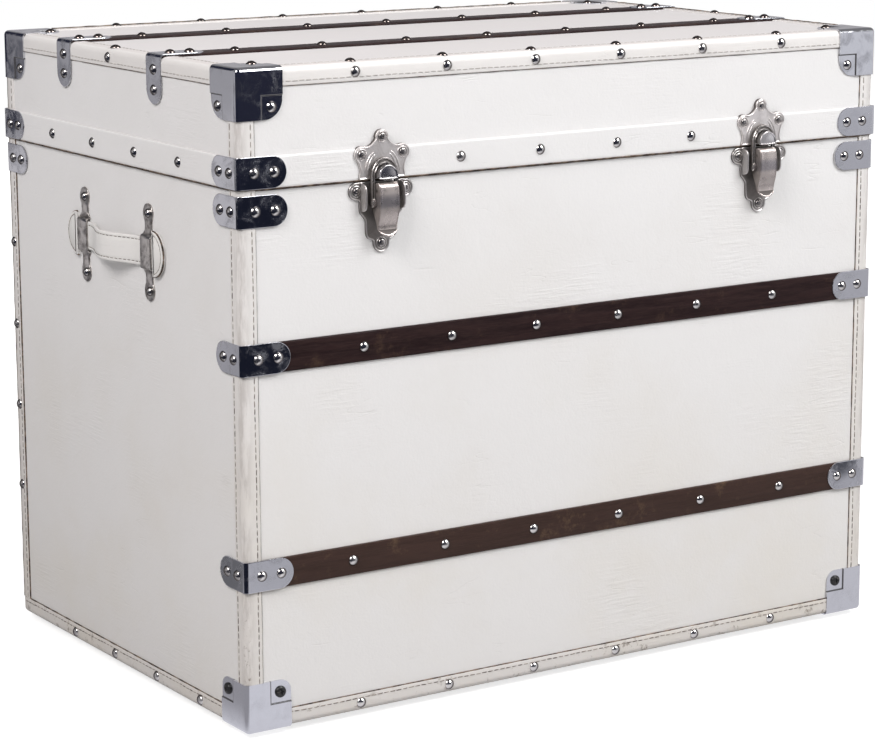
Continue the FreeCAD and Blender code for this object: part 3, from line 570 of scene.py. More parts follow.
def edge_bead(points, radius, closed=False):
    """Thin uneven bead that follows a line of points."""
    rings = []
    count = len(points)
    for i, p in enumerate(points):
        ahead = points[(i + 1) % count] if closed or i + 1 < count else p
        behind = points[i - 1] if closed or i else p
        along = (ahead - behind).normalized()
        side = along.cross(Vector((0, 0, 1)))
        side = side.normalized() if side.length > 0.1 else Vector((1, 0, 0))
        up = side.cross(along)
        r = radius * (1 + 0.45 * noise.noise(p * 90))
        rings.append([p + (side * cos(a) + up * sin(a)) * r for a in angles(0, 300, 6)])
    return loft(rings, closed=closed)


def line_round(x, y, radius, z):
    """Closely stepped line round the whole trunk."""
    return rounded_loop(x, y, radius, z, 180, 120)


def line_up(body, x, y, steps=60):
    """Line as tall as the corner bindings of a body."""
    low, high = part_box(f"{body}_corner_bindings")
    return [Vector((x, y, low.z + (high.z - low.z) * i / steps)) for i in range(steps + 1)]


skin_x, skin_y = base_skin_high.xy
edges = {}
for body, z, radius in (("base", binding_low.z + binding_width, bead),
                        ("lid", top_binding_high.z - binding_width, bead * 0.7)):
    line = line_round(skin_x + bead * 0.6, skin_y + bead * 0.6, leather_corner, z)
    edges[body] = [edge_bead(line, radius, True)]
for x_sign in (-1, 1):
    for x, y, radius in ((x_sign * (skin_x + bead * 0.4), half_y - binding_width, bead * 1.3),
                         (x_sign * (half_x - binding_width), skin_y + bead * 0.4, bead)):
        edges["base"].append(edge_bead(line_up("base", x, y), radius))
out = 0.0002
for body in ("base", "lid"):
    for x_sign in (-1, 1):
        for x, y in ((x_sign * (half_x - binding_width - out), -skin_y - out),
                     (x_sign * (skin_x + out), -half_y + binding_width + out)):
            edges[body].append(edge_bead(line_up(body, x, y), 0.00042 if x < 0 else 0.0006))
out, seam_bead = 0.0001, 0.0005
line = line_round(skin_x + out, skin_y + out, leather_corner, base_skin_high.z - 0.0004)
edges["base"].append(edge_bead(line, seam_bead, True))
band_low, band_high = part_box("lid_seam_band")
line = line_round(band_high.x + out, band_high.y + out, leather_corner + band_high.x - skin_x,
                  band_low.z + 0.0003)
between_hinges = [p for p in line if p.y > band_high.y and abs(p.x) < 0.165]
round_front = [p for p in line if not (p.y > band_high.y and abs(p.x) < 0.235)]
start = max(range(len(round_front)), key=lambda i: (round_front[i] - round_front[i - 1]).length)
for run in (between_hinges, round_front[start:] + round_front[:start]):
    edges["lid"].append(edge_bead(run, seam_bead))
far = binding_corner * (1 - sin(camera_elevation))
top = top_binding_high.z - out
for ends in (((0.05 - half_x, half_y - far, top), (half_x - 0.05, half_y - far, top)),
             ((half_x - far, 0.05 - half_y, top), (half_x - far, half_y - 0.05, top))):
    start, end = (Vector(p) for p in ends)
    edges["lid"].append(edge_bead([start.lerp(end, i / 240) for i in range(241)], 0.0011))
x = binding_corner - half_x - (binding_corner + out) * cos(camera_azimuth)
y = half_y - binding_corner - (binding_corner + out) * sin(camera_azimuth)
for body, shapes in edges.items():
    shapes.append(edge_bead(line_up(body, x, y, 120), 0.0006))
    piece(f"{body}_raw_edges", joined(shapes), body, raw_edge)


# Stitching
# Waxed thread through the bindings, a few millimetres inside their edges, greyed with dirt.
# Each stitch is its own short bead, laid a little unevenly.
stitch_pitch = 0.0068
stitch_length = 0.0063
stitch_radius = 0.00048
stitch_inset = 0.0038

thread, shader, place = new_material("waxed_thread", (0.30, 0.26, 0.22), 0.75)
colour = mixed(ramp(clouds(place, 110.0, 3.0), 0.4, 0.62), (0.10, 0.08, 0.07), (0.36, 0.32, 0.28))
colour = mixed(ramp(split(place)[2], 0.580, 0.588, 0.0, 0.55), colour, (0.62, 0.60, 0.58))
set_inputs(shader, {"Base Color": colour})


def stitch():
    """One stitch along X, rising out of z = 0."""
    rings = []
    for k in range(7):
        s = -1 + k / 3
        r = stitch_radius * sqrt(max(0.0, 1 - s * s)) ** 0.6
        rings.append([Vector((s * stitch_length / 2, r * cos(a), r * (sin(a) + 0.1))) for a in angles(0, 300, 6)])
    return loft(rings)


one_stitch = stitch()


def turned(along, out):
    """Matrix that turns X along a line and Z out of its surface."""
    return Matrix((along, out.cross(along), out)).transposed().to_4x4()


def stitch_row(start, end, out):
    """Stitches from start to end on a surface that faces out."""
    start, end, out = Vector(start), Vector(end), Vector(out)
    along = (end - start).normalized()
    side = out.cross(along)
    count = int((end - start).length / stitch_pitch)
    shapes = []
    for i in range(count):
        p = start + along * (i + 0.5) * (end - start).length / count
        turn = Matrix.Rotation(random.uniform(-0.05, 0.05), 4, "Z") @ Matrix.Scale(random.uniform(0.9, 1.1), 4)
        p += side * (random.uniform(-0.00012, 0.00012) + 0.0005 * noise.noise(p * 28))
        shapes.append(placed(one_stitch, Matrix.Translation(p) @ turned(along, out) @ turn))
    return joined(shapes)


def stitch_rows(body):
    """Every row of stitches on one body."""
    inset = binding_width - stitch_inset
    top = top_binding_high.z
    level = binding_low.z + inset if body == "base" else top - inset
    low, high = (corner.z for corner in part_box(f"{body}_corner_bindings"))
    x, y = half_x - inset, half_y - inset
    end_x, end_y = half_x - binding_corner - 0.001, half_y - binding_corner - 0.001
    rows = []
    for sign in (-1, 1):
        rows += [((-end_x, sign * half_y, level), (end_x, sign * half_y, level), (0, sign, 0)),
                 ((sign * half_x, -end_y, level), (sign * half_x, end_y, level), (sign, 0, 0))]
        if body == "lid":
            rows += [((-x, sign * y, top), (x, sign * y, top), (0, 0, 1)),
                     ((sign * x, -y, top), (sign * x, y, top), (0, 0, 1))]
        for x_sign in (-1, 1):
            rows += [((x_sign * x, sign * half_y, low), (x_sign * x, sign * half_y, high), (0, sign, 0)),
                     ((x_sign * half_x, sign * y, low), (x_sign * half_x, sign * y, high), (x_sign, 0, 0))]
    return joined([stitch_row(*row) for row in rows])


for body in ("base", "lid"):
    piece(f"{body}_stitching", stitch_rows(body), body, thread)


# Seam band
# A padded leather strip glued round the lid just above the seam, with a soft rolled upper
# edge. Its lower edge is cut flush with the lid's rim.
def seam_band():
    t = band_high.x - lid_skin_high.x
    low, high = band_low.z, band_high.z
    section = [(0, low), (t - 0.0005, low), (t - 0.0001, low + 0.0005), (t, low + 0.003), (t, high - 0.0020)]
    section += [(t - 0.0016 + 0.0016 * cos(a), high - 0.0020 + 0.0020 * sin(a)) for a in angles(0, 90, 7)]
    section += [(0, high)]
    rings = [rounded_loop(lid_skin_high.x + out, lid_skin_high.y + out, leather_corner + out, z)
             for out, z in section]
    for p in (p for ring in rings[1:-2] for p in ring):
        p.z += 0.0002 * noise.noise(p * 35)
    return loft(rings, closed=True)


piece("seam_band", seam_band(), "lid", white_leather, ["lid_seam_band"])


# Wood slats
# Thin hardwood strips, stained almost black-brown and lacquered, worn through in places.
# Each is nailed over the leather, and its long edges are rounded.
slat_edge = 0.0011

dark_wood, shader, place = new_material("dark_stained_wood", (0.030, 0.014, 0.014), 0.46, 0.0,
                                        {"Specular IOR Level": 0.13})
grain = use_group(wood_grain, place, Stretch=16.0, Scale=60.0)
colour = mixed(grain["Streaks"], (0.015, 0.007, 0.008), (0.028, 0.014, 0.014))
colour = mixed(grain["Pores"] * 0.3, colour, (0.050, 0.028, 0.023))
z = split(place)[2]
rubbed = ramp(clouds(place, 26.0, 8.0, 0.75), 0.54, 0.72) * ramp(z, 0.2, 0.3, 0.8, 0.35)
colour = mixed(rubbed, colour, (0.13, 0.08, 0.048))
set_inputs(shader, {"Base Color": mixed(ramp(z, 0.2, 0.3, 0.16, 0.0), colour, (0.16, 0.10, 0.07)),
                    "Roughness": ramp(grain["Pores"], 0, 1, 0.36, 0.55),
                    "Normal": bump(grain["Streaks"], 0.00025)})


def slat(node, face_axis, face_sign):
    """Slat along X whose shown face looks along an axis, with its long edges rounded."""
    low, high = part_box(node)
    across_axis, e, stations = 3 - face_axis, slat_edge, 150
    seat, face = (low[face_axis], high[face_axis])[::face_sign]
    first, last = low[across_axis], high[across_axis]
    section = [(first, seat), (first, face - face_sign * e)]
    for edge, way in ((first, 1), (last, -1)):
        section += [(edge + way * e * (1 - cos(a)), face - face_sign * e * (1 - sin(a)))
                    for a in angles(0, 90, 5)[::way]]
    section += [(last, seat)]
    rings = []
    for i in range(stations + 1):
        x = low.x + (high.x - low.x) * i / stations
        ring = []
        for across, out in section:
            wobble = 0.00012 * noise.noise(Vector((x * 30, across * 90, face_sign)))
            dent = 0.0005 * max(0, noise.noise(Vector((x * 110, across * 200, 4.0))) - 0.45)
            p = Vector((x, 0, 0))
            p[across_axis] = across + wobble
            p[face_axis] = out - (face_sign * (dent + abs(wobble)) if abs(out - seat) > 0.001 else 0)
            ring.append(p)
        rings.append(ring)
    return loft(rings)


for node, axis, sign, body in (("front_slat_upper", 1, -1, "base"), ("front_slat_lower", 1, -1, "base"),
                               ("top_slat_front", 2, 1, "lid"), ("top_slat_rear", 2, 1, "lid")):
    piece(node.replace("slat", "wood"), slat(node, axis, sign), body, dark_wood, [node])


# Nails and rivets
# Domed steel heads, nickel plated and polished, driven through the bindings, the band,
# the slats and the metal fittings. No two sit quite alike.
handled_metal, (place, scale), out = new_group("handled_metal", {"Scale": 30.0}, ["Smudge", "Scratch"])
set_inputs(out, {"Smudge": ramp(clouds(place, scale, 6.0, 0.65, 0.5), 0.38, 0.72),
                 "Scratch": ramp(clouds(pressed(place, (300.0, 300.0, 2600.0)), 1.0, 2.0), 0.62, 0.75)})


def metal_material(name, colour, roughness, dirt=(0.25, 0.23, 0.21), soiled=0.25, scale=30.0, relief=0.00002,
                   smeared=0.14):
    """Plated metal: smudged, finely scratched and a little dirty."""
    material, shader, place = new_material(name, colour, roughness, 1.0)
    marks = use_group(handled_metal, place, Scale=scale)
    rough = ramp(marks["Smudge"], 0.0, 1.0, roughness, roughness + smeared)
    set_inputs(shader, {"Base Color": mixed(marks["Smudge"] * soiled, colour, dirt),
                        "Roughness": rough + marks["Scratch"] * 0.08, "Normal": bump(marks["Scratch"], relief)})
    return material


dome_metal = metal_material("domed_nickel", (0.78, 0.76, 0.74), 0.16)
shader, colour, place = reopened(dome_metal)
# Painted shade: each head darkens towards its rim, as its surface turns away from the view.
facing = output_of(place.tree, "LayerWeight", {"Blend": 0.5}, "Facing")
# Painted shade: heads on the lid's top are darker and browner.
on_top = ramp(split(place)[2], top_binding_high.z, top_binding_high.z + 0.0003, 0.0, 0.8)
colour = mixed(on_top, colour, (0.20, 0.15, 0.13))
set_inputs(shader, {"Base Color": mixed(ramp(facing, 0.16, 0.60), colour, (0.07, 0.055, 0.05))})


def revolved(profile, segments):
    """Shape turned about Z from (radius, height) pairs."""
    round_angles = [2 * pi * k / segments for k in range(segments)]
    return loft([[Vector((r * cos(a), r * sin(a), z)) for a in round_angles] for r, z in profile])


def dome(radius, height, segments=18):
    """Domed head with a small upright rim."""
    rim = 0.00025
    rise = height - rim
    curve = (radius * radius + rise * rise) / (2 * rise)
    turns = [asin(min(1.0, radius / curve)) * (1 - k / 6) for k in range(1, 6)]
    return revolved([(radius, -0.0002), (radius, rim)]
                    + [(curve * sin(a), height - curve * (1 - cos(a))) for a in turns]
                    + [(radius * 0.03, height)], segments)


def solid_boxes(node):
    """Box of each separate solid of a CAD node."""
    build = bmesh.new()
    build.from_mesh(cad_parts[node].data)
    bmesh.ops.remove_doubles(build, verts=build.verts, dist=1e-6)
    left, found = set(build.verts), []
    while left:
        island, queue = set(), [left.pop()]
        while queue:
            v = queue.pop()
            island.add(v)
            for other in (edge.other_vert(v) for edge in v.link_edges):
                if other in left:
                    left.remove(other)
                    queue.append(other)
        found.append([Vector([pick(v.co[k] for v in island) for k in range(3)]) for pick in (min, max)])
    build.free()
    return sorted(found, key=lambda box: tuple(round(c, 4) for c in box[0]))


def heads_of(node, shape, tilt=0.05):
    """A head in place of each solid of a node, facing away from the trunk."""
    shapes = []
    for low, high in solid_boxes(node):
        size, centre = high - low, (low + high) / 2
        axis = min(range(3), key=lambda k: size[k])
        outward = Vector((0, 0, 0))
        outward[axis] = 1 if centre[axis] > (0.3 if axis == 2 else 0) else -1
        seat = centre - outward * size[axis] / 2
        turn = Vector((0, 0, 1)).rotation_difference(outward).to_matrix().to_4x4()
        lean = (Matrix.Rotation(random.uniform(-tilt, tilt), 4, "X")
                @ Matrix.Rotation(random.uniform(-tilt, tilt), 4, "Y"))
        spin = Matrix.Rotation(random.uniform(0, pi), 4, "Z")
        shapes.append(placed(shape, Matrix.Translation(seat) @ turn @ lean @ spin))
    return joined(shapes)


nail_head = dome(0.005, 0.0030)
for kind in ("nail", "rivet"):
    for body in ("base", "lid"):
        node = f"{body}_{kind}s"
        piece(f"{body}_{kind}_heads", heads_of(node, nail_head), body, dome_metal, [node])


# Clamps
# Chromed steel strips with round ends, bent round the corners over the slats' ends and
# above and below the seam. Each is held by four rivets.
plate = 0.001
plate_bend = 0.0044
plate_rim = 0.00045
clamp_half = 0.01425
clamp_front = 0.050
clamp_end = 0.046

chrome_colour = (0.66, 0.67, 0.71)
chrome = metal_material("polished_chrome", chrome_colour, 0.07, soiled=0.08, scale=55.0, relief=0.000003,
                        smeared=0.26)


def tongue(reach, half):
    """Columns of a flat strip that ends in a half circle, from its tip: (along, half height)
    at its edge, and the same at the inner side of its rim."""
    centre, inner = reach - half, half - plate_rim
    columns = [(centre + half * cos(a), half * sin(a), centre + inner * cos(a), inner * sin(a))
               for a in angles(0, 90, 10)]
    columns[0] = (reach, half * 0.02, reach - plate_rim, half * 0.02)
    return columns


def bend_place(along, across, out):
    """Along runs from the front tongue (positive) round the bend to the end tongue (negative).
    The corner of the trunk is at the origin, and the outer faces lie at y = 0 and x = 0."""
    r, depth = plate_bend, plate - out
    arc = pi / 2 * r
    if along > r:
        return Vector((along, depth, across))
    if along > r - arc:
        a = (r - along) / r
        return Vector((r - (r - depth) * sin(a), r - (r - depth) * cos(a), across))
    return Vector((depth, 2 * r - arc - along, across))


def clamp_shape():
    """Plate swept from tip to tip, with a rounded rim."""
    r, t, e = plate_bend, plate, plate_rim
    arc = pi / 2 * r
    columns = tongue(clamp_front, clamp_half)
    columns += [(r - arc * k / 8, clamp_half, r - arc * k / 8, clamp_half - e) for k in range(9)]
    columns += [(2 * r - arc - s, h, 2 * r - arc - s_in, h_in) for s, h, s_in, h_in in
                tongue(clamp_end, clamp_half)[::-1]]
    rings = []
    for s, h, s_in, h_in in columns:
        half = [(s, h, 0), (s, h, t - e), ((s + s_in) / 2 + (s - s_in) * 0.2, h - (h - h_in) * 0.3, t - e * 0.3),
                (s_in, h_in, t), (s_in - (s - s_in) * 0.3, h_in - (h - h_in) * 0.3, t), (s_in, h_in * 0.4, t)]
        rings.append([bend_place(*p) for p in half] + [bend_place(a, -b, c) for a, b, c in reversed(half)])
    return loft(rings)


clamp = clamp_shape()


def clamps_of(node):
    """A clamp in place of each solid of a node."""
    shapes = []
    for low, high in solid_boxes(node):
        centre = (low + high) / 2
        right, back = centre.x > 0, centre.y > 0
        corner_x = high.x if right else low.x
        if node == "top_slat_clamps":
            turn = flipped(x=right) @ Matrix.Rotation(radians(-90), 4, "X")
            shapes.append(placed(clamp, Matrix.Translation((corner_x, centre.y, high.z)) @ turn))
        else:
            corner = (corner_x, high.y if back else low.y, centre.z)
            shapes.append(placed(clamp, Matrix.Translation(corner) @ flipped(x=right, y=back)))
    return joined(shapes)


for node, body in (("front_slat_clamps", "base"), ("base_seam_clamps", "base"), ("lid_seam_clamps", "lid"),
                   ("top_slat_clamps", "lid")):
    piece(node.replace("clamps", "corner_clamps"), clamps_of(node), body, chrome, [node])


# Corner caps
# Pressed from one chromed sheet: three wings round a corner, each with its outer square
# pressed down on the leather for its fastener. A thin dark line along each step is painted shade.
cap_reach = 0.0465
cap_recess = 0.025
cap_round = 0.0048
cap_step_width = 0.0005
cap_press = 0.001
cap_depth = plate + binding_thickness

cap_chrome = metal_material("cap_chrome", chrome_colour, 0.07, soiled=0.06, scale=55.0, relief=0.000003,
                            smeared=0.19)
shader, colour, place = reopened(cap_chrome)
x, y, z = split(place)
low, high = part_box("foot_corner_caps")[0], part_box("lid_corner_caps")[1]
x, y, z = high.x - abs(x), high.y - abs(y), maths("MINIMUM", z - low.z, high.z - z)
inward = maths("MAXIMUM", maths("MINIMUM", x, y), maths("MINIMUM", maths("MAXIMUM", x, y), z))
# Painted shade: a thin dark, non-metallic line along each step of the pressed squares.
line = ramp(abs(inward - (cap_recess + cap_step_width * 0.5)), 0.0004, 0.0010, 1.0, 0.0) * 0.92
set_inputs(shader, {"Base Color": mixed(line, colour, (0.03, 0.027, 0.03)), "Metallic": 1.0 - line})


def cap_shape(corner):
    """Cap with its corner at the origin and the trunk towards +X, +Y and +Z."""
    r, reach, s = cap_round, cap_reach, cap_recess
    marks = [0, 0.0012, 0.0024, 0.0036, r, 0.009, 0.014, 0.019, s - 0.0005, s - 0.0001]
    marks += [s + cap_step_width * k / 4 for k in range(5)] + [s + cap_step_width + 0.0001]
    start = marks[-1]
    tail = [start + (reach - start) * sin(a) for a in angles(0, 90, 8)[1:]]

    def edge_at(u):
        return reach - corner + sqrt(max(0.0, corner ** 2 - max(u - reach + corner, 0) ** 2))

    def wing_point(u, v):
        p = Vector((u, v, 0))
        q = Vector((max(u, r), max(v, r), r))
        step = min(max((min(u, v) - s) / cap_step_width, 0), 1)
        return q + (p - q).normalized() * r + Vector((0, 0, cap_press * step * step * (3 - 2 * step)))

    grid = [[(u, v) for v in marks + [start + (edge_at(u) - start) * (m - start) / (reach - start) for m in tail]]
            for u in marks + tail]
    count = len(grid[0])
    points = [wing_point(u, v) for column in grid for u, v in column]
    faces = [(a, a + count, a + count + 1, a + 1) for a in (i * count + j for i in range(len(grid) - 1)
                                                            for j in range(count - 1))]
    border = [i * count + count - 1 for i in range(len(grid))]
    border += [(len(grid) - 1) * count + j for j in range(count - 2, -1, -1)]
    ring = border
    for depth in (0.0004, 0.0011, cap_depth):
        made = []
        for u, v in (grid[index // count][index % count] for index in border):
            p = wing_point(u, v)
            if u <= r:
                p += Vector((1 - u / r, 0, u / r)) * depth
            elif v <= r:
                p += Vector((0, 1 - v / r, v / r)) * depth
            else:
                p.z = max(p.z, cap_depth) if depth == cap_depth else p.z + depth
            made.append(len(points))
            points.append(p)
        faces += [(ring[k], ring[k + 1], made[k + 1], made[k]) for k in range(len(border) - 1)]
        ring = made
    wing = (points, faces)
    turn = Matrix(((0, 0, 1, 0), (1, 0, 0, 0), (0, 1, 0, 0), (0, 0, 0, 1)))
    return joined([wing, placed(wing, turn), placed(wing, turn @ turn)])


for name, body, corner in (("lid", "lid", 0.018), ("foot", "base", 0.011)):
    shapes = []
    for low, high in solid_boxes(f"{name}_corner_caps"):
        beyond_middle = [low[k] + high[k] > limit for k, limit in ((0, 0), (1, 0), (2, 0.6))]
        outer = [high[k] if beyond_middle[k] else low[k] for k in range(3)]
        shapes.append(placed(cap_shape(corner), Matrix.Translation(outer) @ flipped(*beyond_middle)))
    piece(f"{name}_caps", joined(shapes), body, cap_chrome, [f"{name}_corner_caps"], sharp=60,
          weld=True)


# Foot cap screws
# Black wood screws with low round heads and a cross recess, one through each wing of the
# foot caps into the plywood.
black_oxide, shader, place = new_material("black_oxide", (0.012, 0.012, 0.013), 0.38, 0.0,
                                          {"Specular IOR Level": 0.5})
worn = clouds(place, 500.0, 3.0)
set_inputs(shader, {"Base Color": mixed(ramp(worn, 0.6, 0.8), (0.012, 0.012, 0.013), (0.10, 0.09, 0.08)),
                    "Roughness": ramp(worn, 0.3, 0.7, 0.28, 0.5)})


def cross_screw(radius, height):
    """Low round head with a cross-shaped recess, half as deep as the head is high."""
    segments, recess = 24, radius * 0.45
    quarter = segments // 4
    arms = [1.0 if k % quarter in (0, 1, quarter - 1) else 0.36 for k in range(segments)]
    profile = [(1.0, -0.0002), (1.0, 0.25 * height), (0.94, 0.55 * height), (0.80, 0.80 * height),
               (0.62, 0.95 * height)]
    rows = [([share * radius] * segments, z) for share, z in profile]
    rows += [([size * arm for arm in arms], z) for size, z in ((recess, height), (recess * 0.9, height * 0.5))]
    round_angles = [2 * pi * k / segments for k in range(segments)]
    return loft([[Vector((r * cos(a), r * sin(a), z)) for r, a in zip(row, round_angles)] for row, z in rows])


piece("foot_screws", heads_of("foot_cap_screws", cross_screw(0.0055, 0.0028), 0.03), "base",
      black_oxide, ["foot_cap_screws"])


# Glides
# Pressed steel glides nailed under the base, which the trunk stands on. Their rims curve
# down to a small flat foot.
steel = metal_material("zinc_steel", (0.58, 0.58, 0.57), 0.34, soiled=0.35, scale=60.0)
shapes = []
for low, high in solid_boxes("glides"):
    r, h = (high.x - low.x) / 2, high.z - low.z
    profile = [(r * 0.5, 0), (r * 0.68, 0.0002), (r * 0.80, 0.0010), (r * 0.93, 0.0034), (r, h - 0.0006), (r, h)]
    centre = (low + high) / 2
    shapes.append(placed(revolved(profile, 28), Matrix.Translation((centre.x, centre.y, low.z))))
piece("floor_glides", joined(shapes), "base", steel, ["glides"])


# Cloth lining
# Plain woven cloth glued inside base and lid, up to their rims, and softly rounded where
# the sides meet the bottom or the top.
lining_cloth, shader, place = new_material("lining_cloth", (0.52, 0.47, 0.38), 0.9, 0.0, {"Sheen Weight": 0.15})
weave = output_of(place.tree, "TexWave", {"Vector": place, "Scale": 260.0, "Distortion": 0.6}, 1,
                  wave_type="BANDS", bands_direction="DIAGONAL")
set_inputs(shader, {"Base Color": mixed(clouds(place, 6.0, 5.0), (0.46, 0.41, 0.32), (0.60, 0.55, 0.46)),
                    "Normal": bump(weave, 0.0003, 0.5)})


def lining_shape(half_x, half_y, rim, closed_end):
    """Thin open box of cloth with a soft corner at its closed end."""
    t, steps = 0.001, 11
    turn = 1 if closed_end < rim else -1
    x, y = half_x - 0.0001, half_y - 0.0001
    levels = [rim + (closed_end + turn * 0.006 - rim) * k / steps for k in range(steps + 1)]
    return loft([rounded_loop(x, y, 0.001, z) for z in (closed_end, rim)]
                + [rounded_loop(x - t, y - t, 0.004, z) for z in levels]
                + [rounded_loop(x - t - 0.002, y - t - 0.002, 0.004, closed_end + turn * 0.0022),
                   rounded_loop(x - t - 0.006, y - t - 0.006, 0.004, closed_end + turn * t)])


for body in ("base", "lid"):
    low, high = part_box(f"{body}_lining")
    ends = (high.z, low.z) if body == "base" else (low.z, high.z)
    piece(f"{body}_lining_cloth", lining_shape(high.x, high.y, *ends), body, lining_cloth,
          [f"{body}_lining"])


# Latch plates
# Drawbolt latches of nickel-plated brass: a keeper plate on the lid with a half-moon nose, and a
# base plate with two low guards and a lug. Their rims are rolled up and their fields a little domed.
latch_across = 0.217
latch_face = base_skin_high.y
latch_seam = 0.498


def nickel_material(name, colour, roughness, soiled, dull=0.0, shade_from=None, shade_to=None, side_shade=0.0,
                    shade_under_lip=False):
    """Nickel plate with painted shade, in a dark brown, close to the leather, fading out between two heights
    above it in millimetres, on the side walls and under the lever's lip, and a painted dark reflection across the
    lever's belly."""
    material = metal_material(name, colour, roughness, (0.33, 0.29, 0.27), soiled, 75.0, 0.000005)
    shader, tone, place = reopened(material)
    rough = Output(shader.inputs["Roughness"].links[0].from_socket)
    x, y, z = split(place)
    painted_shade = 0.0
    # Painted shade close to the leather: dark below the first height, fading out by the second.
    if shade_from:
        near = ramp(y, -latch_face - shade_to / 1000, -latch_face - shade_from / 1000)
        painted_shade = maths("MAXIMUM", painted_shade, near * 0.93)
    # Painted shade on walls that face sideways.
    if side_shade:
        side_on = ramp(abs(split(output_of(place.tree, "TexCoord", output="Normal"))[0]), 0.75, 0.95)
        painted_shade = maths("MAXIMUM", painted_shade, side_on * side_shade)
    # Painted shade under the lever's lip.
    if shade_under_lip:
        lip_centre = latch_seam - 0.036
        away = distance(output_of(place.tree, "CombineXYZ", {0: abs(x) - latch_across, 2: z - lip_centre}))
        under = ramp(z, latch_seam - 0.0442, latch_seam - 0.0430, 1.0, 0.0) * ramp(away, 0.0120, 0.0124, 1.0, 0.0)
        painted_shade = maths("MAXIMUM", painted_shade, under * 0.93)
        # Painted reflection: a dark bluish band across the lever's belly.
        painted_belly_reflection = ramp(z, latch_seam - 0.0260, latch_seam - 0.0215)
        painted_belly_reflection = painted_belly_reflection * ramp(z, latch_seam - 0.0165, latch_seam - 0.0095, 1.0, 0.0)
        tone = mixed(painted_belly_reflection * 0.55, tone, (0.16, 0.165, 0.21))
    set_inputs(shader, {"Base Color": mixed(painted_shade, tone, (0.042, 0.032, 0.029)),
                        "Metallic": (1.0 - painted_shade * 0.9) * (1 - dull), "Roughness": rough + painted_shade * 0.25})
    return material


keeper_nickel = nickel_material("keeper_nickel", (0.95, 0.905, 0.885), 0.33, 0.48, 0.22, 2.6, 3.75)
nose_nickel = nickel_material("nickel_bright", (0.80, 0.78, 0.78), 0.20, 0.3, 0.0, 9.0, 13.4)
base_nickel = nickel_material("base_nickel", (0.82, 0.79, 0.775), 0.28, 0.5, 0.12, 1.35, 1.75, side_shade=0.6)


def latch_point(x, z, out):
    """Point of a latch in millimetres: across, upward from the seam, outward from the leather."""
    return Vector((x, -out, z)) / 1000


def side_point(out, z, x):
    """The same, for outlines drawn from the side."""
    return latch_point(x, z, out)


def arc(across, up, radius, start, end, count):
    """Points on an arc, in degrees from the right."""
    return [(across + radius * cos(a), up + radius * sin(a)) for a in angles(start, end, count)]


def smooth_line(points, step, closed=True):
    """Even points along a smooth curve through given points."""
    count = len(points)
    line = []
    for i in range(count if closed else count - 1):
        near = [(i + k) % count if closed else min(max(i + k, 0), count - 1) for k in (-1, 0, 1, 2)]
        a, b, c, d = (Vector(points[k]) for k in near)
        steps = max(1, round((c - b).length / step))
        for t in (k / steps for k in range(steps)):
            line.append(0.5 * (2 * b + (c - a) * t + (2 * a - 5 * b + 4 * c - d) * t * t
                               + (3 * b - a - 3 * c + d) * t ** 3))
    return line if closed else line + [Vector(points[-1])]


def stacked(outline, levels, point, centre=None, swell=0.0):
    """Solid from a counterclockwise outline: rings set in by (inset, height) levels, then, if a
    centre is given, rings that swell gently towards it."""
    normals = []
    for before, after in zip(outline[-1:] + outline[:-1], outline[1:] + outline[:1]):
        along = (after - before).normalized()
        normals.append(Vector((along.y, -along.x)))
    rings = []
    for inset, height in levels:
        inner = [p - n * inset for p, n in zip(outline, normals)]
        rings.append([point(q.x, q.y, height(p) if callable(height) else height) for p, q in zip(outline, inner)])
    if centre:
        for share in (k / 9 for k in range(1, 9)):
            ring = [q.lerp(Vector(centre), share) for q in inner]
            rings.append([point(q.x, q.y, height + swell * sin(radians(90 * share))) for q in ring])
    return loft(rings)


def mirrored_outline(half):
    """Smooth closed outline from its right half, listed from bottom to top."""
    return smooth_line(half + [(-x, z) for x, z in reversed(half) if x > 0.01], 0.8)


def rolled_rim(seat, face):
    """Levels of a plate with a rolled rim and a field a little lower."""
    return [(0, seat), (0, face - 0.9), (0.15, face - 0.35), (0.5, face), (0.95, face), (1.3, face - 0.3),
            (1.7, face - 0.55), (2.1, face - 0.6)]


def collars(places, out):
    """Raised rings round the screws of a plate, with a dark gap inside."""
    points, faces = revolved([(0.0056, -0.0006), (0.0055, 0.0002), (0.0052, 0.0006), (0.0048, 0.0007),
                              (0.0044, 0.0004), (0.0043, -0.0006)], 28)
    turn = Matrix.Rotation(radians(90), 4, "X")
    return [placed((points, faces[:-2]), Matrix.Translation(latch_point(x, z, out)) @ turn) for x, z in places]


def rib(points, radius):
    """Pressed rib: a bead half sunk in the plate, fading out at both ends."""
    rings = []
    last = len(points) - 1
    for i, p in enumerate(points):
        along = (points[min(i + 1, last)] - points[max(i - 1, 0)]).normalized()
        side = along.cross(Vector((0, 1, 0))).normalized()
        r = radius * max(0.08, sin(pi * i / last) ** 0.4)
        rings.append([p + (side * cos(a) + Vector((0, -0.8, 0)) * sin(a)) * r for a in angles(0, 315, 8)])
    return loft(rings)


def keeper_shape():
    half = [(10, 1.0), (22, 1.0), (24.3, 1.6), (23.8, 5.0), (23.3, 9.5), (24.9, 15.2)]
    half += arc(21.4, 23.5, 7.5, -50, 100, 8) + [(15.2, 30.4), (11.2, 32.0), (8.0, 34.6)]
    half += arc(0, 38.5, 6.5, -15, 90, 6)
    face = 4.5
    rim = rolled_rim(lambda p: 2.5 if p.y < 29.5 else 0.0, face)
    shapes = [stacked(mirrored_outline(half), rim, latch_point, (0, 16), 0.3)]
    shapes += collars([(0, 38.5), (21.4, 23.5), (-21.4, 23.5)], face - 0.6)
    for sign in (-1, 1):
        for across, tall in ((18.6, 26.0), (15.6, 23.5)):
            shapes.append(rib([latch_point(sign * across * cos(a), 2.5 + tall * sin(a), face - 0.55)
                               for a in angles(8, 62, 17)], 0.0011))
    return joined(shapes)


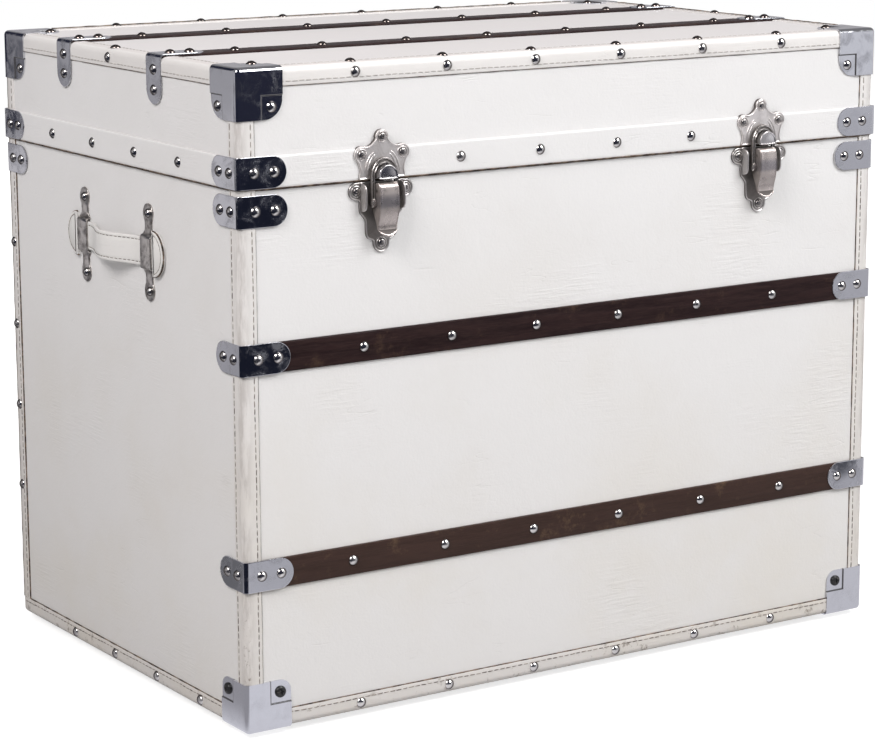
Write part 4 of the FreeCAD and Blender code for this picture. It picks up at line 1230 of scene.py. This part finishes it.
def nose_shape():
    radius = 9.9
    outline = arc(0, 4.4, radius, -14, 194, 34) + [(x, 1.5) for x in (-radius * 0.6, 0, radius * 0.6)]
    levels = [(0.7, 3.6), (0.6, 12.8), (0.1, 13.3), (0, 13.7), (0, 14.5), (0.2, 14.9), (0.5, 15.0), (0.8, 14.8),
              (1.0, 14.35), (1.3, 14.25)]
    return stacked([Vector(p) for p in outline], levels, latch_point, (0, 5.5), 0.3)


def base_plate_shape():
    half = arc(0, -57.3, 8.5, -90, 0, 6)
    half += [(8.9, -55.0), (11.4, -53.7), (14.4, -52.2), (16.2, -48.6), (16.6, -42), (17.0, -36.0), (19.6, -32.0),
             (22.4, -28.6), (23.0, -23.0), (22.9, -18.6)]
    half += arc(25.8, -9.3, 8.0, -80, 78, 8) + [(24.8, -1.3), (22, -1.0), (10, -1.0)]
    face = 2.0
    shapes = [stacked(mirrored_outline(half), rolled_rim(0.0, face)[:-1], latch_point)]
    shapes += collars([(0, -57.3), (25.8, -9.3), (-25.8, -9.3)], face - 0.5)
    guard = smooth_line([(1.2, -27.6), (5.0, -27.2), (8.4, -25.8), (10.0, -22.0), (10.2, -15), (10.0, -8.0),
                         (8.4, -4.2), (5.0, -2.8), (1.2, -2.4)], 1.0, closed=False)
    for sign in (-1, 1):
        shapes.append(stacked(guard, [(inset, sign * x) for inset, x in
                                      ((0.35, 19.4), (0, 19.75), (0, 20.8), (0.35, 21.2))], side_point))
    lug = [Vector(p) for p in arc(10.5, -9.0, 3.6, -60, 235, 24) + [(1.6, -21.0), (1.6, -30.0)]]
    shapes.append(stacked(lug, [(0.3, -4.5), (0, -4.2), (0, 4.2), (0.3, 4.5)], side_point))
    return joined(shapes)


def on_both_latches(name, shape, body, material, node=None, sharp=50):
    """A shape drawn about the seam, as a piece of the left and of the right latch."""
    for side, sign in (("left", -1), ("right", 1)):
        place = Matrix.Translation((sign * latch_across, -latch_face, latch_seam))
        piece(f"{side}_{name}", placed(shape, place), body.format(side), material,
              [f"{side}_{node}"] if node else (), sharp)


on_both_latches("keeper_plate", keeper_shape(), "lid", keeper_nickel, "latch_keeper")
on_both_latches("keeper_nose", nose_shape(), "lid", nose_nickel)
on_both_latches("base_plate", base_plate_shape(), "base", base_nickel, "latch_base")


# Latch levers and hoops
# Each lever is folded from one sheet: a bellied face between two side walls, flared to a round
# lip. The hoop is cast, with a bead along its outer edge, and turns on the lever's walls.
lever_curve = [(11.0, -1.6), (13.6, -2.1), (15.0, -3.2), (16.0, -5.2), (16.4, -8.0), (16.95, -14), (17.0, -21),
               (15.6, -30), (13.2, -38), (12.6, -41), (12.8, -43.6), (13.8, -46.6), (15.3, -48.9)]
lever_back = [(-60, 14.0), (-49.2, 13.6), (-43, 10.8), (-38, 9.4), (-26, 2.9), (-14, 2.9), (-8.5, 3.7),
              (-3.6, 6.2), (-2.6, 8.6), (-1.6, 10.6), (0, 10.6)]
lip_radius, lip_height = 13.0, -36
lever_nickel = nickel_material("lever_nickel", (0.69, 0.62, 0.585), 0.26, 0.22, 0.16, side_shade=0.72, shade_under_lip=True)
hoop_nickel = nickel_material("hoop_nickel", (0.84, 0.81, 0.79), 0.24, 0.5, 0.0, 8.1, 8.75)


def between(table, at):
    """Straight interpolation in a table of pairs."""
    for (a, p), (b, q) in zip(table, table[1:]):
        if a <= at <= b:
            return p + (q - p) * (at - a) / (b - a)
    return table[0][1] if at < table[0][0] else table[-1][1]


def lever_shape():
    rings = []
    line = smooth_line(lever_curve, 1.3, closed=False)
    for out, z in line:
        w = 10.0 if z > -44.3 else sqrt(max(lip_radius ** 2 - (z - lip_height) ** 2, 0.35))
        t = min(1.5, w * 0.6)
        back = min(between(lever_back, z), out - 0.4)
        half = [(w, back), (w, max(out - 1.2, back + 0.02)), (w - 0.2 * t, max(out - 0.4, back + 0.04)),
                (w - 0.65 * t, out), (w - 1.05 * t, out - 0.05), (w * 0.72, out - 0.1), (w * 0.4, out + 0.05)]
        inner = [(w - t, back), (w - t, max(out - 1.8, back + 0.05))]
        ring = half + [(0, out + 0.1)] + [(-x, n) for x, n in reversed(half)]
        ring += [(-x, n) for x, n in inner] + inner[::-1]
        rings.append([latch_point(x, z, n) for x, n in ring])
    face = sorted((z, out) for out, z in line)
    shapes = [loft(rings)]
    heights = [-5 - 39 * k / 20 for k in range(21)]
    for sign in (-1, 1):
        shapes.append(rib([latch_point(sign * 9.55, z, between(face, z) + 0.02) for z in heights], 0.00042))
    lip = arc(0, lip_height, lip_radius, 219, 321, 21)
    shapes.append(rib([latch_point(x, z, between(face, z) + 0.1) for x, z in lip], 0.0007))
    return joined(shapes)


def hoop_shape():
    """Hoop swept from one eye over its crown to the other. Its section runs from the inner to
    the outer edge, as (share of the width, height) pairs."""
    section = [(0, 5.9), (0, 8.3), (0.08, 8.8), (0.2, 8.8), (0.32, 8.0), (0.62, 7.9), (0.76, 8.9), (0.9, 9.1),
               (1, 8.6), (1, 5.9), (0.9, 5.6), (0.1, 5.6)]
    inner, outer, crown, middle = 10.5, 14.0, 16.0, 4.4
    legs = [-18.5, -12, -6, -1]
    stations = [((inner, z), (outer, z)) for z in legs]
    stations += [((inner * cos(a), middle + inner * sin(a)), (outer * cos(a), middle + crown * sin(a)))
                 for a in angles(0, 180, 33)]
    stations += [((-inner, z), (-outer, z)) for z in reversed(legs)]
    shapes = [loft([[latch_point(x0 + (x1 - x0) * s, z0 + (z1 - z0) * s, n) for s, n in section]
                    for (x0, z0), (x1, z1) in stations])]
    eye = revolved([(0.0039, 0), (0.0042, 0.0003), (0.0042, 0.0032), (0.0038, 0.0035), (0.0024, 0.0035),
                    (0.0022, 0.0037), (0.0005, 0.00385)], 24)
    for sign in (-1, 1):
        turn = Matrix.Rotation(radians(90 * sign), 4, "Y")
        shapes.append(placed(eye, Matrix.Translation(latch_point(sign * 10.45, -20.0, 7.0)) @ turn))
    return joined(shapes)


on_both_latches("lever", lever_shape(), "{}_lever", lever_nickel, "latch_lever", 45)
on_both_latches("hoop", hoop_shape(), "{}_link", hoop_nickel, "latch_link")
cover(["latch_pivot_pins"], lever_nickel)


# Latch screws
# Small round screws with cross recesses, sunk in the rings of the plates. Dirt has
# darkened the recesses.
latch_screw = cross_screw(0.0037, 0.0014)
screw_nickel = metal_material("screw_nickel", (0.62, 0.59, 0.57), 0.25, (0.10, 0.08, 0.07), 0.7, 220.0)
for name, body, node in (("keeper_screws", "lid", "latch_keeper_screws"),
                         ("base_plate_screws", "base", "latch_base_screws")):
    piece(name, heads_of(node, latch_screw, 0.02), body, screw_nickel, [node])


# Handle loops
# Stamped nickel-plated loops, each with a round tab and a screw above and below the strap.
# The strap passes under their raised middles.
handle_height = 0.422
loop_apart = 0.0655
end_face = base_skin_high.x
handle_nickel = metal_material("handle_nickel", (0.66, 0.63, 0.60), 0.28, (0.12, 0.10, 0.09), 0.85, 110.0)


def loop_half_width(a):
    """Half width of a loop at a distance from its middle, in millimetres."""
    if a < 17.5:
        return 10.0
    if a < 22:
        return 10.0 - 3.4 * sin(radians(90 * (a - 17.5) / 4.5))
    if a <= 36.5:
        return 6.6 + 2.7 * min(1, max(0, (a - 29.5) / 5.0)) ** 0.5
    return sqrt(max(9.3 ** 2 - (a - 36.5) ** 2, 0.05))


def loop_shape():
    """Loop about its own middle: along -X outward, Y across and Z up, in metres."""
    top, steps, rise = 45.8, 64, 3.7
    rings = []
    for z in (-top + 2 * top * i / steps for i in range(steps + 1)):
        w = loop_half_width(abs(z))
        share = min(1, max(0, (17.2 - abs(z)) / 2.4))
        lift = rise * share ** 2 * (3 - 2 * share)
        e = min(0.5, w * 0.5)
        half = [(w, lift), (w, lift + 1.0), (w - e * 0.4, lift + 1.38), (w - e, lift + 1.5),
                (w - 2.2 * e, lift + 1.25)]
        ring = half + [(-y, n) for y, n in reversed(half)]
        rings.append([Vector((-n, y, z)) / 1000 for y, n in ring])
    return loft(rings)


for side, right in (("left", False), ("right", True)):
    places = [Matrix.Translation((-end_face, y, handle_height)) for y in (-loop_apart, loop_apart)]
    shapes = [placed(loop_shape(), flipped(x=right) @ place) for place in places]
    piece(f"{side}_loops", joined(shapes), "base", handle_nickel, [f"{side}_handle_loops"],
          sharp=50)
piece("loop_screws", heads_of("handle_screws", dome(0.0043, 0.0030, 22), 0.04), "base", dome_metal,
      ["handle_screws"])


# Handle straps
# Two layers of white leather stitched along both edges, bowed out between the loops, with a
# wide D-shaped stop sewn to each end. The cut edges are stained dark.
strap_half, strap_low, strap_thick, strap_span, strap_bow = 13.5, 0.3, 3.0, 54.5, 14.0
stop_start, stop_reach, stop_half = 77.8, 20.0, 21.0
stop_top = strap_low + strap_thick + 1.2
strap_leather = leather_material("strap_leather", (0.80, 0.79, 0.775), 0.55, crease=1.4)


def strap_out(y):
    """Height of the strap's underside above the end leather."""
    return strap_low + (strap_bow * (1 + cos(pi * y / strap_span)) / 2 if abs(y) < strap_span else 0)


def strap_slope(y):
    return strap_out(y + 0.5) - strap_out(y - 0.5)


def strap_point(y, z, out):
    return Vector((-out, y, z)) / 1000


def strap_shape():
    edge, groove = strap_half - 0.6, strap_half - 3.1
    half = [(0, 0.0), (strap_half - 0.5, 0.0), (strap_half, 0.5), (strap_half, 2.5), (edge, 3.0),
            (groove + 0.5, 3.0), (groove, 2.8), (groove - 0.5, 3.0), (strap_half * 0.4, 3.1)]
    section = half + [(-z, n) for z, n in reversed(half[1:])]
    reach, rings = stop_start + 9.0, []
    for y in (-reach + 2 * reach * i / 90 for i in range(91)):
        slope = strap_slope(y)
        slant = sqrt(1 + slope * slope)
        rings.append([strap_point(y - slope / slant * n * 0.6, z, strap_out(y) + n / slant) for z, n in section])
    return loft(rings)


def stop_shape():
    """D-shaped stop at the far end of the strap."""
    outline = [(stop_start + stop_reach * cos(a), stop_half * sin(a)) for a in angles(-90, 90, 31)]
    outline += [(stop_start, stop_half * (1 - 2 * k / 8)) for k in range(1, 8)]
    levels = [(0.4, strap_low), (0, strap_low + 0.4), (0, stop_top - 0.5), (0.4, stop_top - 0.1), (1.0, stop_top),
              (2.4, stop_top), (2.9, stop_top - 0.35), (3.4, stop_top)]
    return stacked([Vector(p) for p in outline], levels, strap_point)


def stop_edge(sign):
    """Dark line round a stop."""
    reach, half = stop_reach + 0.05, stop_half + 0.05
    return edge_bead([strap_point(sign * (stop_start + reach * cos(a)), half * sin(a), stop_top - 1.6)
                      for a in angles(-90, 90, 41)], 0.0009)


def stop_stitches(sign):
    """Stitches inside the round edge of a stop."""
    shapes = []
    for k in range(12):
        a = radians(-78 + 156 * (k + 0.5) / 12)
        p, q = (strap_point(sign * (stop_start + 17.2 * cos(b)), 18.2 * sin(b), stop_top - 0.15)
                for b in (a, a + radians(4)))
        turn = turned((q - p).normalized(), Vector((-1, 0, 0)))
        shapes.append(placed(one_stitch, Matrix.Translation(p) @ turn @ Matrix.Scale(0.8, 4)))
    return shapes


def strap_stitches():
    """Stitches along both edges of the strap, between the loops."""
    shapes = []
    for z in (-strap_half + 3.1, strap_half - 3.1):
        y = -52.0
        while y < 52.0:
            slope = strap_slope(y)
            turn = turned(Vector((-slope, 1, 0)).normalized(), Vector((-1, -slope, 0)).normalized())
            place = Matrix.Translation(strap_point(y, z, strap_out(y) + strap_thick))
            shapes.append(placed(one_stitch, place @ turn @ Matrix.Scale(0.75, 4)))
            y += 5.4 / sqrt(1 + slope * slope)
    return shapes


leather = joined([strap_shape(), stop_shape(), placed(stop_shape(), flipped(y=True))])
dark_edges = joined([stop_edge(1), stop_edge(-1)])
stitches = joined(strap_stitches() + stop_stitches(1) + stop_stitches(-1))
for side, right in (("left", False), ("right", True)):
    place = flipped(x=right) @ Matrix.Translation((-end_face, 0, handle_height))
    for name, shape, material, nodes in (("strap", leather, strap_leather, [f"{side}_handle"]),
                                         ("strap_edges", dark_edges, raw_edge, ()),
                                         ("strap_stitching", stitches, thread, ())):
        piece(f"{side}_{name}", placed(shape, place), f"{side}_strap", material, nodes)


# Hinges
# Two zinc-plated stop hinges on the back, riveted through their leaves. A lug on each lid leaf
# meets the base leaf when the lid is wide open.
cover(["hinge_base_leaves", "hinge_lid_leaves", "hinge_pins"], steel)

low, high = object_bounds()
